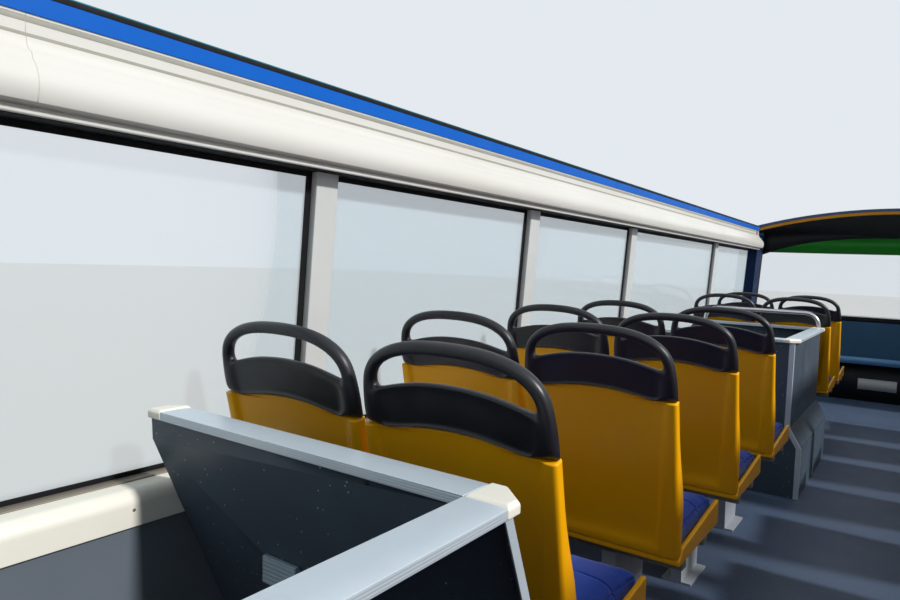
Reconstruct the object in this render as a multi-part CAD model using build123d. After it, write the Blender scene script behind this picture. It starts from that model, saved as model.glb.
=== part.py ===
from build123d import *
from math import asin, cos, pi, radians, sin, tan
import os

os.makedirs("parts", exist_ok=True)

# Open upper deck of a double-decker bus, in millimetres.
# X is to the right, Y is forward and Z is up from the underside of the floor frame.

# How far a cutting shape runs past what it cuts
past = 1

# Overall sizes
overall_width = 2550
overall_length = 10320
half_width = overall_width / 2
front_y = overall_length / 2
rear_y = -overall_length / 2

# Floor
frame_depth = 150
board_thick = 20
deck_top = frame_depth + board_thick
sill_width = 100
section_wall = 8
member_width = 60
member_wall = 5
member_pitch = 710
tail_member = 100
nose_member = 400
mount_hole = 14
mount_set = 660

# Side walls, from the deck up
skin_thick = 4
lining_thick = 6
wall_thick = 105
waist_height = 660
ledge_drop = 80
ledge_wall = 8
ledge_nose = 32
tumblehome = 3.2
pane_thick = 6
seal_thick = 3
seal_width = 125
head_seal = 17
sill_seal = 14
bay_lengths = (1790, 1960, 1260, 1284, 1956)
least_bay = 400
pillar_width = 85
pillar_depth = 24
window_height = 776
panel_joint = 4
waist_z = deck_top + waist_height
lining_x = half_width - wall_thick
head_z = waist_z + window_height

# Coaming along the top of the side walls, its section given as reach in from the face line
# and rise above the window head
coaming_height = 242
coaming_wall = 5
band_height = 51
band_thick = 3
face_set = 43
upper_groove = 182
lower_groove = 150
groove_size = 4
hollow_reach = 25
hollow_rise = 116
hollow_depth = 6
seam_rise = 101
bulge_reach = 56
bulge_rise = 58
bulge_foot = 50
foot_rise = 20
bead_reach = 28
bead_rise = 6
coaming_corner = 120
cap_length = 60
nose_rise = 108
nose_top_set = 8
nose_foot_set = 12
coaming_set = 300
coaming_front = front_y - coaming_set
top_z = head_z + coaming_height

# Front end
bow_depth = 200
bow_back = 400
post_depth = 300
post_width = 90
dash_height = 820
dash_depth = 130
shelf_height = 430
shelf_step = 60
shelf_lip = 25
shelf_thick = 25
screen_thick = 8
screen_height = 770
screen_gap = 2
strip_height = 170
strip_thick = 3
crown_rise = 162
canopy_thick = 8
rim_height = 27
stripe_height = 28
rim_thick = 12
canopy_lining_thick = 6
front_camber = 1
dash_z = deck_top + dash_height
screen_top = dash_z + screen_height
crown_z = top_z + crown_rise

# Rear end
rear_wall = 106
rear_post = 100

# Seats
seat_width = 442
seat_gap = 16
wall_gap = 10
seat_pitch = 684.4
front_row_set = 1923
bench_set = 78
least_pitch = 650
bench_seats = 5
seat_lean = 13.5
joint_height = 870
back_length = 475
back_thick = 30
back_foot = 16
back_recess = 12
back_wing = 60
back_wing_top = 150
back_wing_low = 325
back_wing_thick = 26
flange_width = 32
flange_spread = 33
arch_rise = 26
arch_flat = 110
recess_foot = 30
handle_rise = 176
handle_base = 52
handle_inset = 4
handle_thick = 30
handle_depth = 32
handle_steps = 6
handle_power = 2.5
crescent_rise = 40
crescent_flat = 55
cushion_depth = 400
cushion_thick = 85
cushion_gap = 6
cushion_nose = 35
pad_inset = 36
pad_thick = 24
pad_top = 50
pad_foot = 40
pan_thick = 12
pan_seat = 2
pan_drop = 5
wing_thick = 14
wing_set = 20
wing_back = 30
wing_gap = 1
beam_width = 40
beam_height = 25
beam_end = 12
rear_beam_set = 150
front_beam_set = 370
leg_thick = 40
leg_set = 205
leg_foot_back = 190
leg_foot_front = 400
foot_width = 110
foot_thick = 8
fit = 0.3
seat_half = seat_width / 2
aisle_half = lining_x - 2 * wall_gap - 2 * seat_width - seat_gap

# Stair enclosures
rear_well_set = 1670
rear_well_length = 1751
rear_well_lean = 24
rear_well_proud = 10
front_well_set = 2660
front_well_length = 1105
well_panel = 25
well_edge = 8
well_height = 832
well_kink_low = 270
well_kink_high = 375
well_kink_out = 62
kink_step = 4
ledge_gap = 1
landing = 900
knee_room = 100
seat_room = 40
cap_height = 18
cap_width = 76
cap_lip = 8
cap_over = 16
shoulder_width = 36
shoulder_drop = 2
end_cap_length = 45
end_cap_set = 39
end_cap_cut = 30
end_cut_rise = 62
corner_cut = 45
corner_bevel = 6
trim_width = 22
trim_thick = 3
hoop_tube = 28
hoop_sides = 12
hoop_height = 92
hoop_radius = 80
hoop_bend_steps = 5
lamp_width = 102
lamp_x = -832
lamp_low = 495
lamp_height = 60
lamp_depth = 38
rear_well_back = rear_y + rear_well_set
rear_well_top = rear_well_back + rear_well_length
front_well_front = front_y - front_well_set
front_well_back = front_well_front - front_well_length


def block(x0, x1, y0, y1, z0, z1):
    centre = Pos((x0 + x1) / 2, (y0 + y1) / 2, (z0 + z1) / 2)
    return centre * Box(abs(x1 - x0), abs(y1 - y0), abs(z1 - z0))


def along_y(points, y0, y1):
    outline = Polyline([(x, y0, z) for x, z in points], close=True)
    return extrude(make_face(outline), amount=y1 - y0, dir=(0, 1, 0))


def along_x(points, x0, x1):
    outline = Polyline([(x0, y, z) for y, z in points], close=True)
    return extrude(make_face(outline), amount=x1 - x0, dir=(1, 0, 0))


def joined(lines):
    # one closed wire from polylines, lines and arcs laid end to end
    edges = []
    for line in lines:
        edges.extend(line.edges())
    return Wire(edges)


def save(name, pieces):
    solids = []
    for piece in pieces:
        solids.extend(piece.solids())
    shape = solids[0] if len(solids) == 1 else Compound(children=solids)
    export_step(shape, f"parts/{name}.step")


def save_sides(name, pieces):
    save(name + "_left", pieces)
    save(name + "_right", [mirror(piece, Plane.YZ) for piece in pieces])


def save_both(name, pieces):
    save(name, pieces + [mirror(piece, Plane.YZ) for piece in pieces])


def wall_x(z):
    # distance of the outer wall face from the centreline at height z
    return half_width - max(0, z - waist_z) * tan(radians(tumblehome))


def wall_slab(near, far, z0, z1, y0, y1):
    # leaning slab on the left side, near and far measured inwards from the outer face
    points = (
        (-wall_x(z0) + near, z0),
        (-wall_x(z1) + near, z1),
        (-wall_x(z1) + far, z1),
        (-wall_x(z0) + far, z0),
    )
    return along_y(points, y0, y1)


def bow(inset, z0, z1, back_y):
    # plan of the bowed front end, from back_y to the front face less inset, run from z0 to z1
    side = half_width
    left = (-side, front_y - bow_depth - inset, z0)
    middle = (0, front_y - inset, z0)
    right = (side, front_y - bow_depth - inset, z0)
    edge = Wire(
        [
            ThreePointArc(left, middle, right),
            Line(right, (side, back_y, z0)),
            Line((side, back_y, z0), (-side, back_y, z0)),
            Line((-side, back_y, z0), left),
        ]
    )
    return extrude(make_face(edge), amount=z1 - z0, dir=(0, 0, 1))


def bow_shell(outer, inner, z0, z1, half):
    back_y = front_y - bow_depth - bow_back
    shell = bow(outer, z0, z1, back_y) - bow(inner, z0 - past, z1 + past, back_y - past)
    return shell & block(-half, half, back_y, front_y, z0, z1)


# Floor: openings in the boards for the two stair enclosures
lean_shift = well_height * tan(radians(rear_well_lean))
panel_foot = rear_well_top + lean_shift
rear_aisle_x = rear_well_proud - aisle_half
rear_edge = rear_aisle_x - well_panel - well_edge
front_edge = -aisle_half - well_panel
rear_hole = (-lining_x, rear_edge, rear_well_back, panel_foot - well_panel)
front_hole = (-lining_x, front_edge, front_well_back + well_panel, front_well_front - well_panel)

sill_out = half_width - skin_thick
boards = bow(skin_thick, frame_depth, deck_top, rear_y + skin_thick)
boards = boards & block(-sill_out, sill_out, rear_y, front_y, frame_depth, deck_top)
for x0, x1, y0, y1 in (rear_hole, front_hole):
    boards -= block(x0, x1, y0, y1, 0, deck_top + past)
save("floor_boards", [boards])

# Side sills: channels open inwards, with the body mounting holes in the lower flange
sill_in = sill_out - sill_width
sill_points = (
    (-sill_out, 0),
    (-sill_in, 0),
    (-sill_in, section_wall),
    (-sill_out + section_wall, section_wall),
    (-sill_out + section_wall, frame_depth - section_wall),
    (-sill_in, frame_depth - section_wall),
    (-sill_in, frame_depth),
    (-sill_out, frame_depth),
)
sill_front = front_y - bow_depth - skin_thick
sill = along_y(sill_points, rear_y + skin_thick, sill_front)
mount_x = sill_out - sill_width / 2
for hole_y in (rear_y + mount_set, front_y - mount_set):
    sill -= Pos(-mount_x, hole_y, 0) * Cylinder(mount_hole / 2, 4 * section_wall)
save("floor_sills", [sill, mirror(sill, Plane.YZ)])

# Cross members: hollow boxes between the sills at even pitches, cut short beside the wells
half_member = member_width / 2
rear_ends = (rear_well_back - half_member, panel_foot + half_member)
front_ends = (front_well_back - half_member, front_well_front + half_member)
fixed_members = (rear_y + tail_member,) + rear_ends + front_ends + (front_y - nose_member,)
member_y = [fixed_members[0]]
for start, end in zip(fixed_members[:-1], fixed_members[1:]):
    bays = max(1, round((end - start) / member_pitch))
    member_y += [start + (end - start) * (bay + 1) / bays for bay in range(bays)]
bore_half = half_member - member_wall
bore_low = section_wall + member_wall
bore_high = frame_depth - section_wall - member_wall
members = []
for y in member_y:
    left = -sill_out + section_wall
    if rear_ends[0] < y < rear_ends[1]:
        left = rear_edge + member_width
    if front_ends[0] < y < front_ends[1]:
        left = front_edge + member_width
    right = sill_out - section_wall
    outer = block(left, right, y - half_member, y + half_member, section_wall, frame_depth - section_wall)
    members.append(outer - block(left, right, y - bore_half, y + bore_half, bore_low, bore_high))
save("floor_crossmembers", members)

# Trimmers along the aisle edge of each well, between the cross members at its ends
trimmers = []
for x, (back, front) in ((rear_edge, rear_ends), (front_edge, front_ends)):
    y0 = back + half_member
    y1 = front - half_member
    trimmers.append(block(x, x + member_width, y0, y1, section_wall, frame_depth))
save("well_trimmers", trimmers)

# Outer side panels, one to a bay, meeting behind the pillars
bay_ends = [front_y - sum(bay_lengths[: bay + 1]) for bay in range(len(bay_lengths))]
pillar_fronts = [y for y in reversed(bay_ends) if y > rear_y + rear_post + least_bay]
pillar_centres = [y - pillar_width / 2 for y in pillar_fronts]
post_back = front_y - bow_depth - post_depth
post_front = front_y - bow_depth - skin_thick
panel_ends = [rear_y + skin_thick] + pillar_centres + [post_front]
skins = []
for start, end in zip(panel_ends[:-1], panel_ends[1:]):
    y0 = start + panel_joint / 2
    y1 = end - panel_joint / 2
    skins.append(block(-half_width, -half_width + skin_thick, y0, y1, 0, waist_z))
save_sides("side_panels", skins)

# Inner lining below the ledge
wall_front = post_front
wall_back = rear_y + rear_wall
ledge_low = waist_z - ledge_drop
lining = block(-lining_x - lining_thick, -lining_x, wall_back, wall_front, deck_top, ledge_low)
save_both("side_linings", [lining])

# Waist ledge: a moulding with a rounded nose over the lining
ledge_in = lining_x - ledge_wall
nose_x = ledge_in + ledge_nose


def ledge_face(y):
    # closed outline of the moulding at y, with the nose as an outer and an inner arc
    small = ledge_nose - ledge_wall
    turn = cos(pi / 4)
    nose_z = waist_z - ledge_nose
    inner_top = waist_z - ledge_wall
    back = -lining_x - lining_thick
    inner = -ledge_in - ledge_wall
    foot = ledge_low + ledge_wall
    top = ((-nose_x, inner_top), (-sill_out, inner_top), (-sill_out, waist_z), (-nose_x, waist_z))
    front = (
        (-ledge_in, nose_z),
        (-ledge_in, ledge_low),
        (back, ledge_low),
        (back, foot),
        (inner, foot),
        (inner, nose_z),
    )
    top_line = Polyline([(x, y, z) for x, z in top])
    front_line = Polyline([(x, y, z) for x, z in front])
    outer_mid = (-nose_x + ledge_nose * turn, y, nose_z + ledge_nose * turn)
    inner_mid = (-nose_x + small * turn, y, nose_z + small * turn)
    over_nose = ThreePointArc(top_line @ 1, outer_mid, front_line @ 0)
    under_nose = ThreePointArc(front_line @ 1, inner_mid, top_line @ 0)
    return make_face(joined([top_line, over_nose, front_line, under_nose]))


ledge = extrude(ledge_face(wall_back), amount=wall_front - wall_back, dir=(0, 1, 0))
save_sides("waist_ledge", [ledge])

# Window pillars, panes and the dark strips between them
window_lean = half_width - wall_x(head_z)
pane_in = pane_thick
seal_in = pane_in + seal_thick
pillar_in = seal_in + pillar_depth
pillars = []
seals = []
seal_low = waist_z + sill_seal
seal_high = head_z - head_seal
for front, centre in zip(pillar_fronts, pillar_centres):
    pillars.append(wall_slab(seal_in, pillar_in, waist_z, head_z, front - pillar_width, front))
    seal_back = centre - seal_width / 2
    seals.append(wall_slab(pane_in, seal_in, seal_low, seal_high, seal_back, seal_back + seal_width))
pane_back = rear_y + rear_post + window_lean
rear_clear = half_width - rear_post - window_lean - panel_joint / 2
rear_shift = rear_y + half_width
for z0, z1 in ((waist_z, seal_low), (seal_high, head_z)):
    seals.append(wall_slab(pane_in, seal_in, z0, z1, pane_back, post_back))
save_both("window_pillars", pillars)


def to_rear(shape):
    # from the left side wall to the rear wall
    return Pos(0, rear_shift, 0) * Rot(0, 0, 90) * shape


rear_seals = []
for z0, z1 in ((waist_z, seal_low), (seal_high, head_z)):
    rear_seals.append(to_rear(wall_slab(pane_in, seal_in, z0, z1, -rear_clear, rear_clear)))
save("window_seals", seals + [mirror(seal, Plane.YZ) for seal in seals] + rear_seals)
panes = []
pane_ends = [pane_back] + pillar_centres + [post_back]
for start, end in zip(pane_ends[:-1], pane_ends[1:]):
    panes.append(wall_slab(0, pane_in, waist_z, head_z, start + panel_joint / 2, end - panel_joint / 2))
rear_pane = to_rear(wall_slab(0, pane_in, waist_z, head_z, -rear_clear, rear_clear))
save("window_panes", panes + [mirror(pane, Plane.YZ) for pane in panes] + [rear_pane])

# Coaming: hollow white moulding with two grooves, a shallow hollow and a long bulge over a bead
wall_shift = half_width - wall_x(top_z)
coaming_back = rear_y + coaming_corner + wall_shift
band_z = top_z - band_height
crest_x = wall_x(top_z)
face_x = -crest_x + face_set


def coaming_face(y):
    # closed outline of the moulding at y
    def at(reach, rise):
        return (face_x + reach, y, head_z + rise)

    step = band_thick - wall_x(band_z)
    root = bead_reach - bead_rise
    points = [
        (-wall_x(head_z), y, head_z),
        (-wall_x(band_z), y, band_z),
        (step, y, band_z),
        (band_thick - crest_x, y, top_z - band_thick),
        at(0, coaming_height - band_thick),
        at(0, upper_groove + groove_size),
        at(-groove_size, upper_groove),
        at(0, upper_groove - groove_size),
        at(0, lower_groove + groove_size),
        at(-groove_size, lower_groove),
        at(groove_size, lower_groove - groove_size),
    ]
    mid_reach = (hollow_reach + groove_size) / 2 - hollow_depth
    mid_rise = (hollow_rise + lower_groove) / 2 - groove_size
    hollow_mid = at(mid_reach, mid_rise)
    hollow_end = at(hollow_reach, hollow_rise)
    seam = at(hollow_reach + hollow_depth, seam_rise)
    foot = at(bulge_foot, foot_rise)
    bead = [
        foot,
        at(root, foot_rise - bead_rise),
        at(root, bead_rise),
        at(bead_reach, bead_rise),
        at(bead_reach, 0),
    ]
    edge = joined(
        [
            Polyline(points),
            ThreePointArc(points[-1], hollow_mid, hollow_end),
            Line(hollow_end, seam),
            ThreePointArc(seam, at(bulge_reach, bulge_rise), foot),
            Polyline(bead + [points[0]]),
        ]
    )
    return make_face(edge)


def coaming_run(start, end):
    # the moulding from start to end, hollow with a plain cavity one wall inside it
    wall = coaming_wall
    root_x = face_x + bead_reach - bead_rise - wall
    cavity = (
        (-wall_x(head_z) + wall, head_z + wall),
        (-wall_x(band_z) + band_thick + wall, band_z),
        (-crest_x + band_thick + wall, top_z - band_thick - wall),
        (face_x - groove_size - wall, top_z - band_thick - wall),
        (face_x - groove_size - wall, head_z + lower_groove),
        (face_x + hollow_reach - 2 * wall, head_z + hollow_rise),
        (face_x + bulge_reach - 2 * wall, head_z + bulge_rise),
        (face_x + bulge_foot - 2 * wall, head_z + foot_rise + wall),
        (root_x, head_z + foot_rise - bead_rise + wall),
        (root_x, head_z + wall),
    )
    outside = extrude(coaming_face(start), amount=end - start, dir=(0, 1, 0))
    return outside - along_y(cavity, start, end)


def band_run(start, end):
    inner = face_x + band_thick
    points = (
        (-wall_x(band_z), band_z),
        (-crest_x, top_z),
        (inner, top_z),
        (inner, band_z),
        (face_x, band_z),
        (face_x, top_z - band_thick),
        (-crest_x + band_thick, top_z - band_thick),
        (-wall_x(band_z) + band_thick, band_z),
    )
    return along_y(points, start, end)


coaming_end = coaming_front - cap_length
rear_reach = half_width - coaming_corner - wall_shift
save_sides("coaming", [coaming_run(coaming_back, coaming_end)])
side_band = band_run(coaming_back, coaming_front)
save("coaming_bands", [side_band, mirror(side_band, Plane.YZ), to_rear(band_run(-rear_reach, rear_reach))])
save("coaming_rear", [to_rear(coaming_run(-rear_reach, rear_reach))])

# End caps with a rounded nose, and the corner blocks at the rear
end_cap = extrude(coaming_face(coaming_end), amount=cap_length, dir=(0, 1, 0))
nose_points = (
    (coaming_end + nose_foot_set, head_z),
    (coaming_end - past, head_z),
    (coaming_end - past, top_z),
    (coaming_front - nose_top_set, top_z),
)
nose_line = Polyline([(0, y, z) for y, z in nose_points])
nose_mid = (0, coaming_front, head_z + nose_rise)
nose = joined([nose_line, ThreePointArc(nose_line @ 1, nose_mid, nose_line @ 0)])
nose_block = extrude(make_face(nose), amount=half_width, dir=(-1, 0, 0))
save_both("coaming_ends", [end_cap & nose_block])


def wall_corner(z0, z1, size):
    # rear left corner block, leaning with both walls
    side = wall_slab(0, 2 * size, z0, z1, rear_y, rear_y + size + half_width - wall_x(z1))
    back = to_rear(wall_slab(0, 2 * size, z0, z1, wall_x(z1) - size, half_width))
    return side & back


save_both("coaming_corners", [wall_corner(head_z, top_z, coaming_corner)])
save_both("rear_posts", [wall_corner(waist_z, head_z, rear_post)])

# Front corner posts under the coaming ends and the canopy
post_low = wall_slab(0, post_width, waist_z, head_z, post_back, post_front)
post_high = wall_slab(0, post_width, head_z, screen_top, coaming_front, post_front)
save_both("front_posts", [post_low + post_high])

# Front panel, bulkhead and windscreen follow the bow
front_panel = bow_shell(0, skin_thick, 0, dash_z, half_width)
save("front_panel", [front_panel])
shelf_z = deck_top + shelf_height
toe_depth = dash_depth - shelf_step
bulkhead = bow_shell(dash_depth, dash_depth + lining_thick, shelf_z, dash_z - lining_thick, lining_x)
bulkhead += bow_shell(toe_depth, toe_depth + lining_thick, deck_top, shelf_z, lining_x)
bulkhead += bow_shell(toe_depth, dash_depth + shelf_lip, shelf_z - shelf_thick, shelf_z, lining_x)
for side in (-1, 1):
    bulkhead -= block(side * ledge_in, side * half_width, wall_back, wall_front, ledge_low, waist_z)
save("front_bulkhead", [bulkhead])
dash_half = wall_x(dash_z) - post_width
dash = bow_shell(skin_thick, dash_depth + shelf_lip, dash_z - lining_thick, dash_z, dash_half)
save("dash_top", [dash])
screen_half = wall_x(screen_top) - screen_gap
windscreen = bow_shell(0, screen_thick, dash_z, screen_top, screen_half)
save("windscreen", [windscreen])
strip_low = screen_top - strip_height
strip_half = screen_half - post_width
strip = bow_shell(screen_thick, screen_thick + strip_thick, strip_low, screen_top, strip_half)
save("sun_strip", [strip])


# Canopy: shallow arch over the windscreen with a rim along its rear edge
def arch_edge(y, drop, side):
    return ThreePointArc((-side, y, top_z - drop), (0, y, crown_z - drop), (side, y, top_z - drop))


def arch(drop, side, y0, y1, low_z):
    # solid under the arch, from low_z up to drop below its top
    edge = Wire(
        [
            arch_edge(y0, drop, side),
            Line((side, y0, top_z - drop), (side, y0, low_z)),
            Line((side, y0, low_z), (-side, y0, low_z)),
            Line((-side, y0, low_z), (-side, y0, top_z - drop)),
        ]
    )
    return extrude(make_face(edge), amount=y1 - y0, dir=(0, 1, 0))


def arch_band(drop, depth, side, y):
    low = drop + depth
    edge = Wire(
        [
            arch_edge(y, drop, side),
            Line((side, y, top_z - drop), (side, y, top_z - low)),
            arch_edge(y, low, side),
            Line((-side, y, top_z - low), (-side, y, top_z - drop)),
        ]
    )
    return make_face(edge)


canopy_back = coaming_front
canopy_side = crest_x - canopy_thick
rim_front = canopy_back + rim_thick
outside = arch(0, crest_x, canopy_back, front_y, screen_top) & bow(0, screen_top, crown_z, canopy_back)
inside = arch(canopy_thick, canopy_side, canopy_back - past, front_y, screen_top - past)
inside = inside & bow(canopy_thick, screen_top - past, crown_z, canopy_back - past)
rim = extrude(arch_band(0, rim_height, crest_x, canopy_back), amount=rim_thick, dir=(0, 1, 0))
save("canopy", [outside - inside + rim])
stripe_face = arch_band(rim_height, stripe_height, canopy_side, canopy_back)
stripe = extrude(stripe_face, amount=rim_thick, dir=(0, 1, 0))
save("canopy_stripe", [stripe])

# Dark lining that slopes from the stripe down to the top of the windscreen
lining_drop = rim_height + stripe_height
front_low = screen_top - canopy_lining_thick


def front_edge(z):
    # slightly cambered line over the windscreen at height z
    return ThreePointArc((-canopy_side, front_y, z), (0, front_y, z + front_camber), (canopy_side, front_y, z))


upper_line = front_edge(screen_top)
lower_line = front_edge(front_low)
right_end = Line(upper_line @ 1, lower_line @ 1)
left_end = Line(lower_line @ 0, upper_line @ 0)
lining_front = make_face(Wire([upper_line, right_end, lower_line, left_end]))
rear_edge = arch_band(lining_drop - canopy_lining_thick, canopy_lining_thick, canopy_side, rim_front)
lining_sheet = loft([rear_edge, lining_front], ruled=True)
lining_sheet = lining_sheet & bow(screen_thick + strip_thick, front_low - past, crown_z, rim_front)
save("canopy_lining", [lining_sheet])

# Rear end: panel, lining, ledge and a glazed opening between the corner posts
rear_panel = block(-half_width, half_width, rear_y, rear_y + skin_thick, 0, waist_z)
save("rear_panel", [rear_panel])
rear_lining = block(-lining_x, lining_x, wall_back - lining_thick, wall_back, deck_top, ledge_low)
save("rear_lining", [rear_lining])
rear_ledge = extrude(ledge_face(-ledge_in), amount=2 * ledge_in, dir=(0, 1, 0))
save("rear_ledge", [to_rear(rear_ledge)])

# Seats


def leaned(shape):
    # from the back's own upright plane to its place over the deck
    return Pos(0, 0, deck_top + joint_height) * Rot(seat_lean, 0, 0) * shape


def lean_point(depth, rise):
    # y and z of a point of the back, from its rear face and its joint line
    turn = radians(seat_lean)
    return depth * cos(turn) - rise * sin(turn), deck_top + joint_height + depth * sin(turn) + rise * cos(turn)


def seat_shell():
    # moulded back with an arched top, a recess between its flanges and side wings towards the sitter
    low = -back_length
    outline = (
        (-seat_half, -arch_rise),
        (-arch_flat, 0),
        (arch_flat, 0),
        (seat_half, -arch_rise),
        (seat_half, low),
        (-seat_half, low),
    )
    side = (
        (0, low),
        (back_foot, low),
        (back_wing, -back_wing_low),
        (back_thick, -back_wing_top),
        (back_thick, 0),
        (0, 0),
    )
    top_half = seat_half - flange_width
    foot_half = top_half - flange_spread
    recess = (
        (-top_half, past),
        (top_half, past),
        (foot_half, low + recess_foot),
        (-foot_half, low + recess_foot),
    )
    between = seat_half - back_wing_thick
    shell = along_y(outline, 0, back_wing) & along_x(side, -seat_half, seat_half)
    shell -= along_y(recess, -past, back_recess)
    return leaned(shell - block(-between, between, back_thick, back_wing + past, low, past))


def handle_arch(half, base, top, steps):
    # points from right to left over the top of the loop handle
    points = []
    for step in range(steps + 1):
        angle = pi * step / steps
        across = abs(cos(angle)) ** (2 / handle_power)
        x = half * across if angle < pi / 2 else -half * across
        points.append((x, base + (top - base) * sin(angle) ** (2 / handle_power)))
    return points


def top_moulding():
    foot = -arch_rise + fit
    half = seat_half - handle_inset
    outer = [(-seat_half, foot), (-arch_flat, fit), (arch_flat, fit), (seat_half, foot)]
    outer += handle_arch(half, handle_base, handle_rise, handle_steps)
    inner = half - handle_thick
    gap = handle_arch(inner, handle_base + 2 * handle_inset, handle_rise - handle_thick, handle_steps - 1)
    gap += [(-crescent_flat, handle_base + crescent_rise), (crescent_flat, handle_base + crescent_rise)]
    return leaned(along_y(outer, 0, handle_depth) - along_y(gap, -past, handle_depth + past))


# The pan lies a set drop under the lower edge of the back, and the cushion lies in it
cushion_back = back_length * sin(radians(seat_lean)) + back_thick + cushion_gap
cushion_front = cushion_back + cushion_depth
pan_z = lean_point(0, -back_length)[1] - pan_drop
cushion_z = pan_z + cushion_thick


def cushion():
    points = (
        (cushion_back, pan_z),
        (cushion_front, pan_z),
        (cushion_front, cushion_z - cushion_nose),
        (cushion_front - 2 * cushion_nose, cushion_z),
        (cushion_back, cushion_z - pan_thick),
    )
    side = seat_half - wing_thick - wing_gap
    return along_x(points, -side, side)


def pan():
    # tray with side wings round the cushion, and a raised rear edge that carries the back
    back_y, back_z = lean_point(pan_seat, -back_length - fit)
    step_y, step_z = lean_point(back_foot + pan_seat, -back_length - fit)
    low = pan_z - pan_thick
    front = cushion_front - wing_set
    side = (
        (back_y, low),
        (front, low),
        (front, cushion_z - wing_set),
        (cushion_back, pan_z + wing_back),
        (step_y, step_z),
        (back_y, back_z),
    )
    inner = seat_half - wing_thick
    tray = along_x(side, -seat_half, seat_half)
    return tray - block(-inner, inner, step_y, front + past, pan_z, cushion_z)


def back_pad():
    half = seat_half - pad_inset
    low = -back_length + cushion_thick + pad_foot
    face = ((-half, low), (half, low), (half, -pad_top), (-half, -pad_top))
    return leaned(along_y(face, back_thick, back_thick + pad_thick))


# Rows in pairs from the front, with none on the left over the stairs, and a bench across the rear
front_row = front_y - front_row_set
bench_row = rear_y + rear_wall + bench_set
row_count = 1 + int((front_row - bench_row - least_pitch) / seat_pitch)
right_rows = [front_row - seat_pitch * row for row in range(row_count)]
stairs = (
    (rear_well_back - landing, panel_foot - leg_foot_back),
    (front_well_back - knee_room, front_well_front + seat_room),
)
left_rows = []
for y in right_rows:
    clear = [y + cushion_front < back or y > front for back, front in stairs]
    if all(clear):
        left_rows.append(y)
outer_seat = lining_x - wall_gap - seat_half
inner_seat = outer_seat - seat_width - seat_gap
bench_pitch = 2 * outer_seat / (bench_seats - 1)
places = []
for side, rows in ((-1, left_rows), (1, right_rows)):
    for y in rows:
        places.extend([(side * inner_seat, y), (side * outer_seat, y)])
for seat in range(bench_seats):
    places.append((seat * bench_pitch - outer_seat, bench_row))

for name, piece in (
    ("seat_back_pads", back_pad()),
    ("seat_shells", seat_shell()),
    ("seat_tops", top_moulding()),
    ("seat_cushions", cushion()),
    ("seat_pans", pan()),
):
    save(name, [Pos(x, y, 0) * piece for x, y in places])

# Two beams from the wall lining under each row, and a wide leg that carries both
beam_top = pan_z - pan_thick
leg_top = beam_top - beam_height
leg_foot = deck_top + foot_thick
beams = []
legs = []


def add_beams(x0, x1, row_y):
    for beam_set in (rear_beam_set, front_beam_set):
        y0 = row_y + beam_set
        beams.append(block(x0, x1, y0, y0 + beam_width, leg_top, beam_top))


def add_leg(leg_x, row_y):
    # plate along Y, wider at the beams than at the foot, on a flat foot
    points = (
        (row_y + rear_beam_set, leg_top),
        (row_y + front_beam_set + beam_width, leg_top),
        (row_y + leg_foot_front, deck_top),
        (row_y + leg_foot_back, deck_top),
    )
    half_foot = foot_width / 2
    y0 = row_y + leg_foot_back
    y1 = row_y + leg_foot_front
    plate = along_x(points, leg_x - leg_thick / 2, leg_x + leg_thick / 2)
    legs.append(plate + block(leg_x - half_foot, leg_x + half_foot, y0, y1, deck_top, leg_foot))


for side, rows in ((-1, left_rows), (1, right_rows)):
    for y in rows:
        add_beams(side * lining_x, side * (aisle_half + beam_end), y)
        add_leg(side * (aisle_half + leg_set + leg_thick / 2), y)
add_beams(-lining_x, lining_x, bench_row)
for x in (-bench_pitch, bench_pitch):
    add_leg(x, bench_row)
save("seat_beams", beams)
save("seat_pedestals", legs)

# Rear stair enclosure: leaning front panel and a straight aisle panel
cap_z = deck_top + well_height
ledge_end = ledge_gap - ledge_in
front_panel_points = (
    (rear_well_top - well_panel, cap_z),
    (rear_well_top, cap_z),
    (panel_foot, deck_top),
    (panel_foot - well_panel, deck_top),
)
aisle_points = (
    (rear_well_back, deck_top),
    (panel_foot - well_panel, deck_top),
    (rear_well_top - well_panel, cap_z),
    (rear_well_back, cap_z),
)
aisle_panel = along_x(aisle_points, rear_aisle_x - well_panel, rear_aisle_x)
cut_points = (
    (ledge_end - past, cap_z - end_cut_rise),
    (ledge_end + end_cap_set, cap_z),
    (ledge_end + end_cap_set, cap_z + past),
    (ledge_end - past, cap_z + past),
)


def with_cut(panel, y0, y1):
    # cross panel with its upper outer corner cut back to the end cap
    return panel - along_y(cut_points, y0 - past, y1 + past)


cross_panel = along_x(front_panel_points, ledge_end, rear_aisle_x)
cross_panel = with_cut(cross_panel, rear_well_top - well_panel, panel_foot)
save("rear_well_panels", [aisle_panel, cross_panel])


def cap_rail(length):
    # rail along +Y from the origin, centred on x, with a rounded shoulder on its +X side
    half = cap_width / 2
    shoulder = half - shoulder_width
    radius = (shoulder_width**2 + shoulder_drop**2) / (2 * shoulder_drop)
    turn = asin(shoulder_width / radius) / 2
    arc_mid = (shoulder + radius * sin(turn), 0, cap_height - radius * (1 - cos(turn)))
    top = (shoulder, 0, cap_height)
    side = (half, 0, cap_height - shoulder_drop)
    flats = Polyline([top, (-half, 0, cap_height), (-half, 0, 0), (half, 0, 0), side])
    edge = joined([flats, ThreePointArc(side, arc_mid, top)])
    return extrude(make_face(edge), amount=length, dir=(0, 1, 0))


half_cap = cap_width / 2
corner_half = half_cap + trim_thick / 2


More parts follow.
